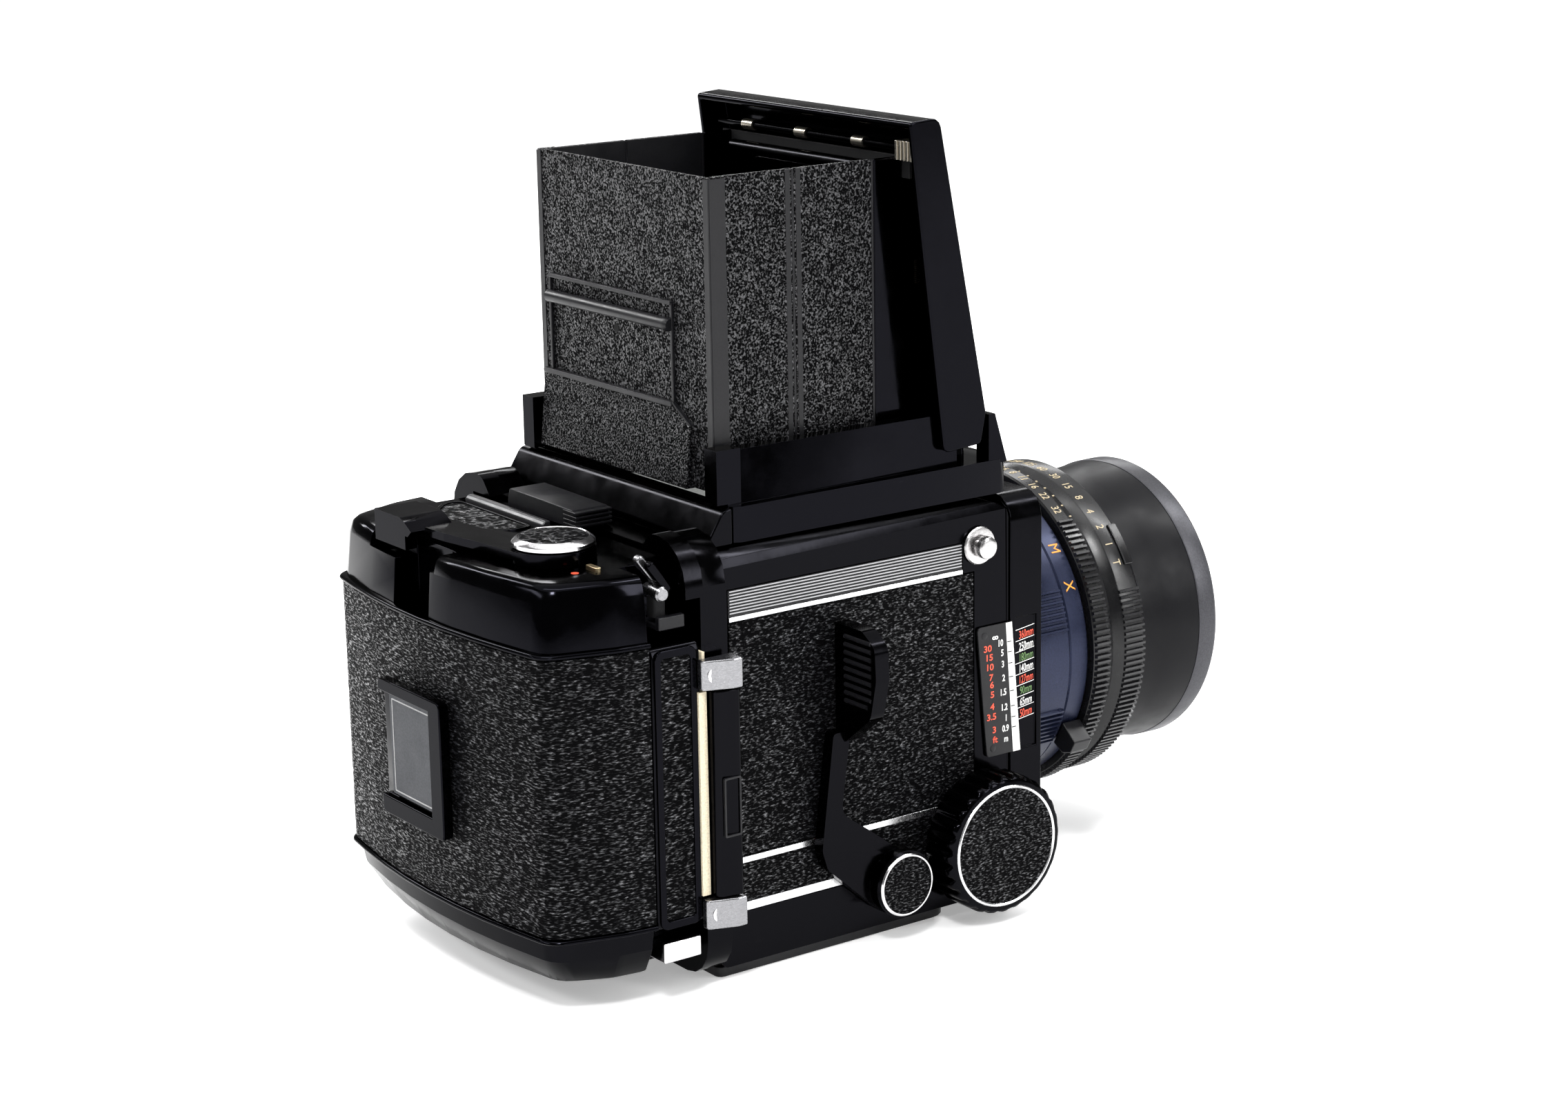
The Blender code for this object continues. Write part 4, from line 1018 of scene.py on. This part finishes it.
def studio():
    """A wide pale floor under an even overhead light, with softboxes that draw the highlights."""
    bm = bmesh.new()
    half = 12.0
    corners = ((-half, -half, 0), (half, -half, 0), (half, half, 0), (-half, half, 0))
    bm.faces.new([bm.verts.new(corner) for corner in corners])
    mesh = bpy.data.meshes.new("floor")
    bm.to_mesh(mesh)
    bm.free()
    floor = bpy.data.objects.new("floor", mesh)
    bpy.context.scene.collection.objects.link(floor)
    look = Look("floor_paper", (0.93, 0.93, 0.93), 0.9)
    look.colour(look.noise(400, detail=2), [(0.3, 0.92), (0.7, 0.95)])
    look.set(Emission_Color=(1, 1, 1, 1), Emission_Strength=0.34, Specular_IOR_Level=0.1)
    mesh.materials.append(look.material)

    world = bpy.data.worlds.new("studio")
    bpy.context.scene.world = world
    world.use_nodes = True
    backdrop = world.node_tree.nodes["Background"]
    backdrop.inputs["Color"].default_value = (1, 1, 1, 1)
    backdrop.inputs["Strength"].default_value = 0.2

    sun = bpy.data.lights.new("overhead", "SUN")
    sun.energy = 1.7
    sun.angle = math.radians(80)
    obj = bpy.data.objects.new("overhead", sun)
    bpy.context.scene.collection.objects.link(obj)
    obj.rotation_euler = (math.radians(8), math.radians(4), 0)

    aim = (0, 0, 0.1)
    light("side_softbox", (0.3, 1.0), 12, (-1.3, -0.7, 0.8), aim)
    light("back_softbox", (1.2, 0.25), 10, (0.35, 1.3, 1.05), aim)
    light("key_lamp", (0.2, 0.2), 13, (-0.75, 0.65, 1.25), aim)
    light("far_strip", (0.9, 0.12), 5, (1.02, -0.66, 0.8), aim)
    light("left_strip", (0.15, 0.7), 11, (1.15, 0.35, 0.9), aim)
    light("front_strip", (0.12, 0.9), 10, (-0.35, -0.8, 1.2), aim)
    light("top_strip", (0.9, 0.15), 5, (-0.15, 0.2, 1.45), aim)


def camera():
    """The photo's viewpoint, behind the object on the photographer's right, as fitted to the photo."""
    data = bpy.data.cameras.new("view")
    data.lens = 73.0
    data.sensor_width = 36.0
    obj = bpy.data.objects.new("view", data)
    bpy.context.scene.collection.objects.link(obj)
    azimuth, elevation, roll = (math.radians(a) for a in (234.414, 14.6175, -0.9421))
    obj.location = (-0.7014, 0.48068, 0.31979)
    turn = Matrix.Rotation(azimuth, 3, "Z") @ Matrix.Rotation(math.pi / 2 - elevation, 3, "X")
    obj.rotation_euler = (turn @ Matrix.Rotation(roll, 3, "Z")).to_euler()
    bpy.context.scene.camera = obj


def main():
    body_parts()
    scales()
    finder()
    standard()
    lens()
    knobs()
    cocking()
    button()
    back()
    studio()
    camera()
    bpy.context.scene.view_settings.view_transform = "Standard"


main()
